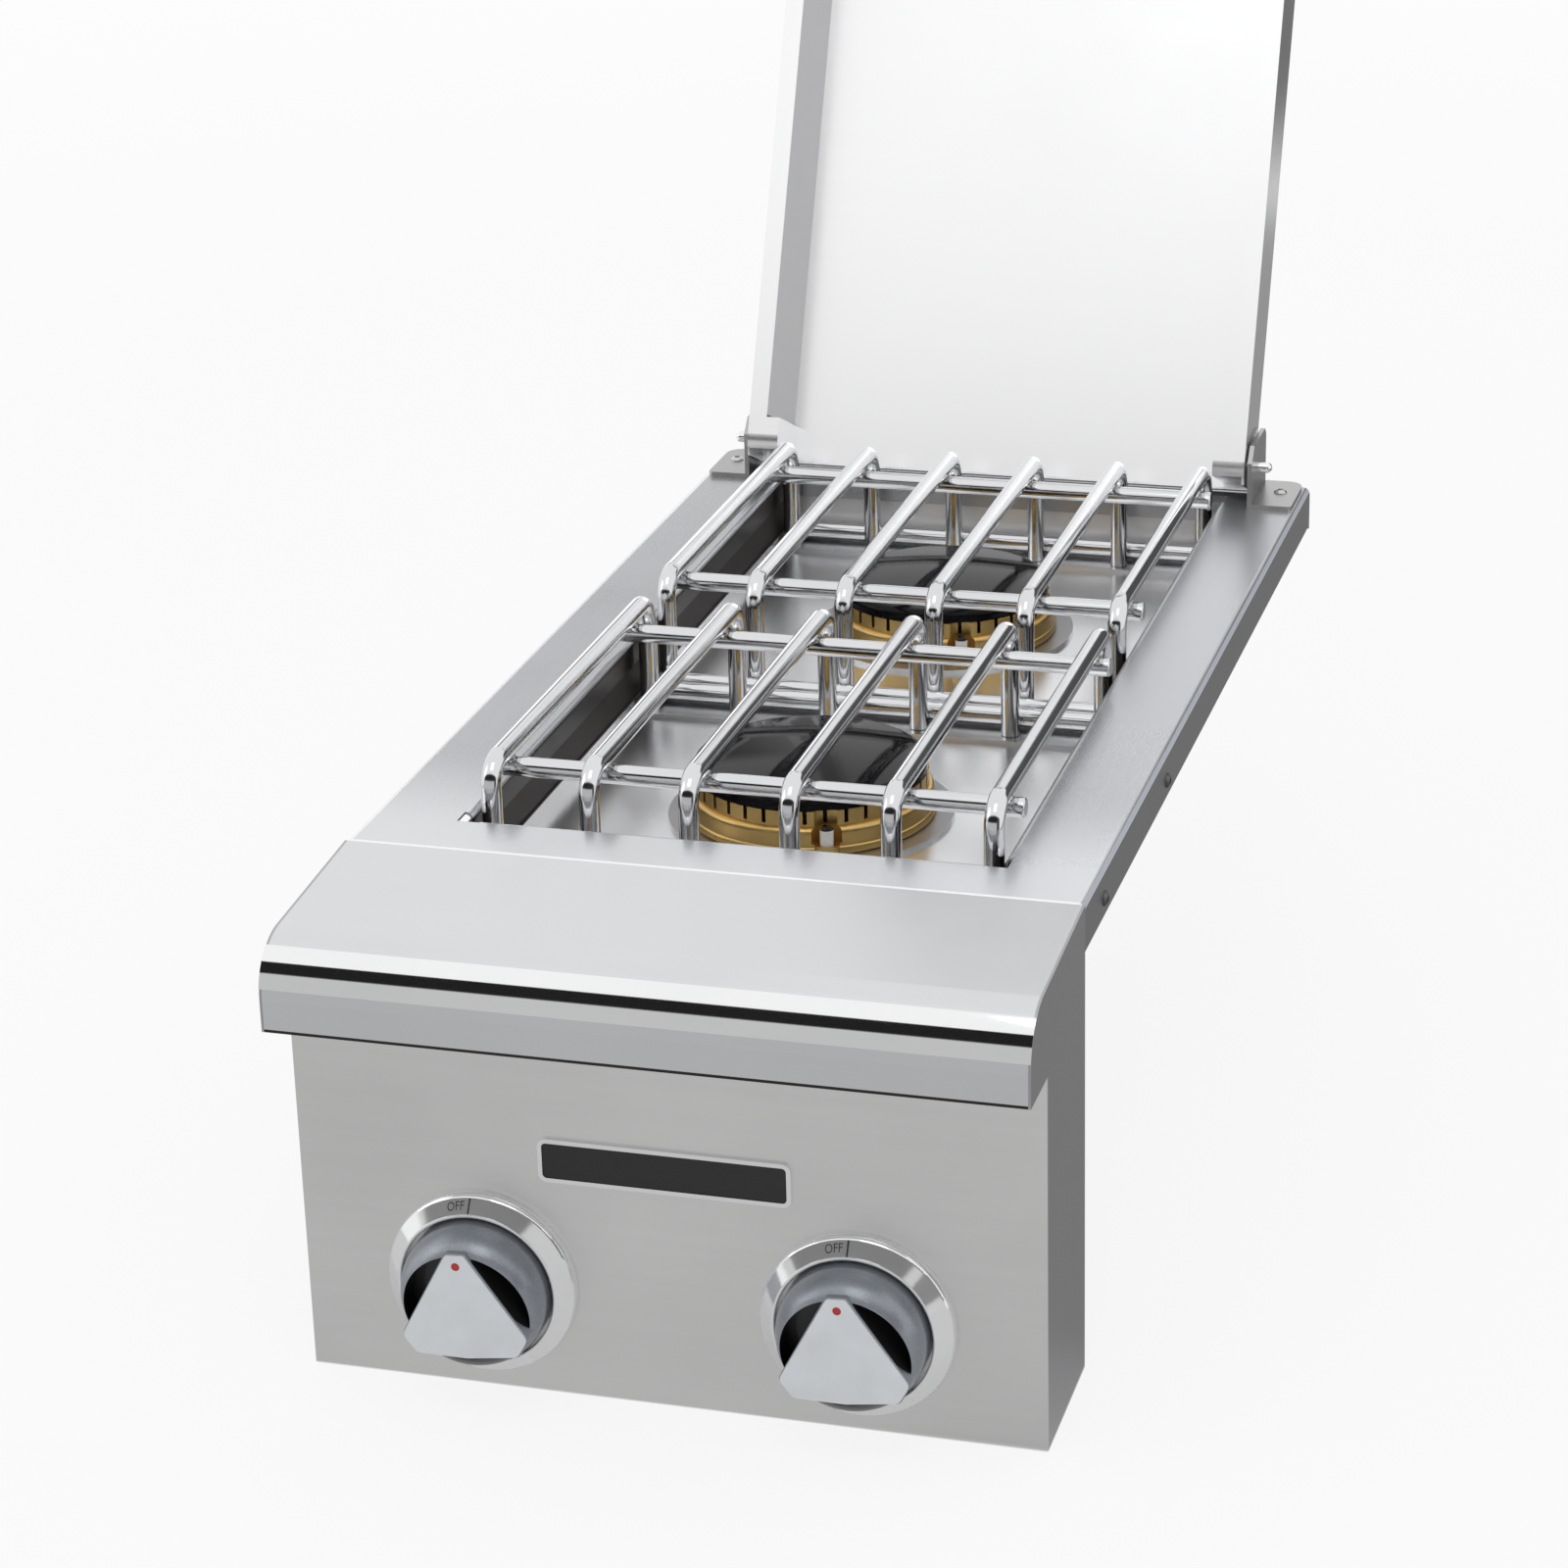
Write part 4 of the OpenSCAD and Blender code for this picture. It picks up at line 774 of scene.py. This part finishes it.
def surface(name, body, finish, grids):
    """One mesh from an array of grids (pieces, rows, columns, 3), closed along columns."""
    grids = np.asarray(grids, dtype=float)
    count, rows, columns, _ = grids.shape
    index = np.arange(count * rows * columns).reshape(count, rows, columns)
    across = np.roll(index, -1, axis=2)
    quads = np.stack([index[:, :-1], across[:, :-1], across[:, 1:], index[:, 1:]], axis=-1)
    mesh = bpy.data.meshes.new(name)
    mesh.from_pydata(grids.reshape(-1, 3), [], quads.reshape(-1, 4).tolist())
    work = bmesh.new()
    work.from_mesh(mesh)
    bmesh.ops.remove_doubles(work, verts=work.verts, dist=1e-7)
    bmesh.ops.dissolve_degenerate(work, edges=work.edges, dist=1e-8)
    bmesh.ops.recalc_face_normals(work, faces=work.faces)
    work.to_mesh(mesh)
    work.free()
    mesh.polygons.foreach_set("use_smooth", [True] * len(mesh.polygons))
    piece = bpy.data.objects.new(name, mesh)
    bpy.context.scene.collection.objects.link(piece)
    mesh.materials.append(FINISH[finish])
    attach(piece, body)
    return piece


print("surface helper ready")

# %% [markdown]
# ## Weld beads on the grates
# The rods are resistance welded where they cross, which leaves a small collar of
# metal round each touching point. Two crossed round rods leave a gap that grows with
# the distance from that point, and the bead fills it: at an angle round the point
# and a share of the way from one rod to the other, a point of the bead lies at the
# bead's radius, drawn in at the middle of the gap as a fillet is.

# %% Write the bead's surface
ROD_R = 4.75
BEAD_R = 3.7
WAIST = 0.22
RIPPLES = (0.09, 0.05)


def beads(points, normals, along_p, along_q, phase):
    """Beads at points, between rod P (running along_p) and rod Q (along_q) above it.

    Height of P's top below the touching point: r - sqrt(r^2 - v^2), with v across P.
    Height of Q's underside above it: r - sqrt(r^2 - u^2), with u across Q.
    Radius: BEAD_R (1 + ripples) (1 - WAIST sin(pi t)), t from P to Q. The ripples are
    waves of two and five turns round the bead, and phase starts them elsewhere on each.
    """
    angle = np.linspace(0, 2 * np.pi, 16, endpoint=False)[None, None, :]
    t = np.linspace(0, 1, 5)[None, :, None]
    phase = phase[:, None, None]
    two, five = RIPPLES
    ripple = 1 + two * np.sin(2 * angle + phase) + five * np.sin(5 * angle - 2 * phase)
    outer = BEAD_R * ripple * np.ones_like(t)
    low = ROD_R - np.sqrt(ROD_R ** 2 - (outer * np.sin(angle)) ** 2)
    high = ROD_R - np.sqrt(ROD_R ** 2 - (outer * np.cos(angle)) ** 2)
    radius = outer * (1 - WAIST * np.sin(np.pi * t))
    height = (low + high) * t - low
    u, v, n = radius * np.cos(angle), radius * np.sin(angle), height
    poles = np.zeros((u.shape[0], 1, u.shape[2]))
    u, v, n = (np.concatenate([poles, a, poles], axis=1)[..., None] for a in (u, v, n))
    return (points[:, None, None, :] + u * along_p + v * along_q
            + n * normals[:, None, None, :])


print("bead radius", BEAD_R, "mm on rods of", ROD_R, "mm")

# %% [markdown]
# ## Where the grates are welded
# Each of a grate's six bars bends down into a leg at both ends. A cross rod touches
# the bars from below a little way in from each end, and another one runs outside the
# legs near their feet. So each end has two rows of six crossings.

# %% Weld the crossings
PITCH = 47.6
RODS = (np.arange(6) - 2.5) * PITCH
GRATE_L = 237.0
GRATE_Y = (-544.25, -273.75)
HIGH_IN, HIGH_Z = 25.0, 40.04
LOW_OUT, LOW_Z = 4.76, -7.95


def grate_welds(name, body, y0):
    """Beads on one grate: high crossings under the bars, low ones on their legs."""
    x_axis, y_axis, z_axis = np.eye(3)
    rows = (len(RODS), 1)
    grids = []
    for end, toward in ((y0, 1), (y0 + GRATE_L, -1)):
        high = np.array([(x, end + toward * HIGH_IN, HIGH_Z) for x in RODS])
        low = np.array([(x, end - toward * LOW_OUT, LOW_Z) for x in RODS])
        phase = np.arange(len(RODS)) * 1.7 + end
        grids.append(beads(high, np.tile(z_axis, rows), x_axis, y_axis, phase))
        grids.append(beads(low, np.tile(toward * y_axis, rows), x_axis, z_axis, phase + 2))
    return surface(name, body, "weld", np.concatenate(grids) * MM)


welds = [grate_welds("front_grate_welds", "front_grate", GRATE_Y[0]),
         grate_welds("rear_grate_welds", "rear_grate", GRATE_Y[1])]
print("weld beads:", [len(w.data.polygons) for w in welds])

# %% [markdown]
# ## Marks on the bezels
# The only words on the real control that may be kept are the plain ones for the off
# position. Text is made a mesh while it is still flat, and then laid on the bezel:
# across becomes an angle round the bezel, up becomes a radius, and the height comes
# from the bezel's own slope, with a few hundredths of a millimetre of ink on top.

# %% Write the lettering helpers
SLOPE = ((37.1, 9.87), (43.21, 4.558))
INK = 0.04
MARK_R = 40.4


def on_bezel(across, up, side, lean):
    """Flat marks to the bezel: angle = lean + across / MARK_R, r = MARK_R + up.

    The height falls from SLOPE's first radius and height to its second one.
    """
    angle = np.radians(lean) + across / MARK_R
    r = MARK_R + up
    (r0, h0), (r1, h1) = SLOPE
    h = h0 + (r - r0) * (h1 - h0) / (r1 - r0) + INK
    return np.stack([side * KNOB_X + r * np.sin(angle), FACE_Y - h,
                     KNOB_Z + r * np.cos(angle)], axis=-1) * MM


def flat_word(word, size):
    """Points and faces of a word in the plain built in letters, centred on the origin."""
    curve = bpy.data.curves.new("word", "FONT")
    curve.body = word
    curve.size = size
    curve.align_x = "CENTER"
    curve.align_y = "CENTER"
    curve.resolution_u = 3
    holder = bpy.data.objects.new("word", curve)
    bpy.context.scene.collection.objects.link(holder)
    bpy.context.view_layer.update()
    mesh = holder.to_mesh()
    points = np.empty(len(mesh.vertices) * 3)
    mesh.vertices.foreach_get("co", points)
    faces = [tuple(p.vertices) for p in mesh.polygons]
    holder.to_mesh_clear()
    bpy.data.objects.remove(holder)
    return points.reshape(-1, 3)[:, :2], faces


print("lettering at radius", MARK_R, "mm")

# %% Print the marks
WORD_SIZE = 4.6
WORD_STRETCH = 1.05
WORD_LEAN = -12.5
LINE_LEAN = -3.4
LINE = np.array([(-0.4, -2.9), (0.4, -2.9), (0.4, 2.7), (-0.4, 2.7)])


def bezel_marks(name, side):
    """The word and the index line of one bezel, as one thin sheet of ink."""
    word, faces = flat_word("OFF", WORD_SIZE)
    points = np.concatenate([
        on_bezel(word[:, 0] * WORD_STRETCH, word[:, 1], side, WORD_LEAN),
        on_bezel(LINE[:, 0], LINE[:, 1], side, LINE_LEAN)])
    start = len(word)
    mesh = bpy.data.meshes.new(name)
    mesh.from_pydata(points, [], faces + [(start, start + 1, start + 2, start + 3)])
    piece = bpy.data.objects.new(name, mesh)
    bpy.context.scene.collection.objects.link(piece)
    mesh.materials.append(FINISH["ink"])
    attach(piece, "frame")
    return piece


marks = [bezel_marks("left_bezel_marks", -1), bezel_marks("right_bezel_marks", 1)]
print("bezel marks:", [len(m.data.polygons) for m in marks])

# %% [markdown]
# ## Thread on the gas inlet
# The inlet is a flare fitting with a fine thread. A thread is a surface of angle and
# length whose radius rises and falls once for each pitch, and the peak moves along
# the length as the angle turns, so the ridge winds round.

# %% Cut the thread
INLET = np.array([0.0, -596.0, -185.0])


def thread(name, body, centre, y0, y1, radius, pitch, depth):
    """Radius + depth |2 frac(y / pitch - angle / turn) - 1|, closed by a hidden sleeve."""
    angle = np.linspace(0, 2 * np.pi, 40, endpoint=False)[None, :]
    y = np.linspace(y0, y1, int((y1 - y0) / pitch * 8) + 1)[:, None]
    wave = np.abs(2 * np.mod(y / pitch - angle / (2 * np.pi), 1.0) - 1)
    fade = np.clip(np.minimum(y - y0, y1 - y) / pitch, 0, 1)
    r = radius + depth * wave * fade
    sleeve = np.full((2, angle.shape[1]), radius - 1.0)
    r = np.concatenate([sleeve[:1], r, sleeve[1:], sleeve[:1]])
    y = np.concatenate([y[:1], y, y[-1:], y[:1]]) * np.ones_like(angle)
    grid = np.stack([centre[0] + r * np.cos(angle), centre[1] + y,
                     centre[2] + r * np.sin(angle)], axis=-1)
    return surface(name, body, "brass", grid[None] * MM)


inlet_thread = thread("inlet_thread", "frame", INLET, y0=2.0, y1=13.4, radius=7.95,
                      pitch=1.41, depth=0.55)
print("thread faces:", len(inlet_thread.data.polygons))

# %% [markdown]
# ## Valve springs
# Inside each valve a coil spring pushes the knob back out. The solid model holds its
# place with a plain ring. Here it is a real coil: a circle carried along a helix, with
# flat closed ends.

# %% Wind the springs
SPRING_IN_Y = FACE_Y + 19.6
SPRING_OUT_Y = FACE_Y + 7.0
CLOSED_END = 0.12


def coil(name, side, radius=4.85, wire=0.6, turns=6.0):
    """Point = axis point + (radius + wire cos a) outwards + wire sin a along the axis."""
    along = np.linspace(0, 1, 241)[:, None]
    a = np.linspace(0, 2 * np.pi, 8, endpoint=False)[None, :]
    wound = 2 * np.pi * turns * along
    flat = np.clip((along - CLOSED_END) / (1 - 2 * CLOSED_END), 0, 1)
    start, end = SPRING_OUT_Y + wire, SPRING_IN_Y - wire
    taper = np.where((along == 0) | (along == 1), 0.0, wire)
    r = radius + taper * np.cos(a)
    grid = np.stack([side * KNOB_X + r * np.cos(wound), start + (end - start) * flat
                     + taper * np.sin(a), KNOB_Z + r * np.sin(wound)], axis=-1)
    word = "left" if side < 0 else "right"
    piece = surface(name, "frame", "spring", grid[None] * MM)
    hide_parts(word + "_valve_spring")
    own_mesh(piece)
    return piece


springs = [coil("left_valve_coil", -1), coil("right_valve_coil", 1)]
print("springs:", [len(p.data.polygons) for p in springs])

# %% [markdown]
# ## Boots on the electrodes
# A rubber boot covers each electrode's lower end, where its lead goes in. It is a
# turned shape, so its profile, a radius for each height, is carried once round the
# electrode's axis.

# %% Turn the boots
SPARK_R = 59.5
SPARK_TURN = np.radians(-67.4)
BOOT_Z = -14.0
BOOT_PROFILE = np.array([(0.0, -21.5), (2.3, -21.5), (2.5, -21.2), (2.9, -19.0),
                         (4.3, -16.5), (4.8, -14.5), (5.0, -9.0), (5.3, -8.8),
                         (5.3, -7.6), (5.0, -7.4), (4.0, -7.4), (0.0, -7.6)])


def boot(name, middle):
    """The profile turned about an axis at SPARK_R and SPARK_TURN from a burner's middle."""
    angle = np.linspace(0, 2 * np.pi, 28, endpoint=False)
    centre = (SPARK_R * np.cos(SPARK_TURN), middle + SPARK_R * np.sin(SPARK_TURN), BOOT_Z)
    r, z = BOOT_PROFILE[:, :1], BOOT_PROFILE[:, 1:]
    grid = np.stack([centre[0] + r * np.cos(angle), centre[1] + r * np.sin(angle),
                     centre[2] + z + 0 * angle], axis=-1)
    return surface(name, "frame", "plastic", grid[None] * MM)


boots = [boot("front_boot", BURNER_Y[0]), boot("rear_boot", BURNER_Y[1])]
print("boots:", [len(p.data.polygons) for p in boots])
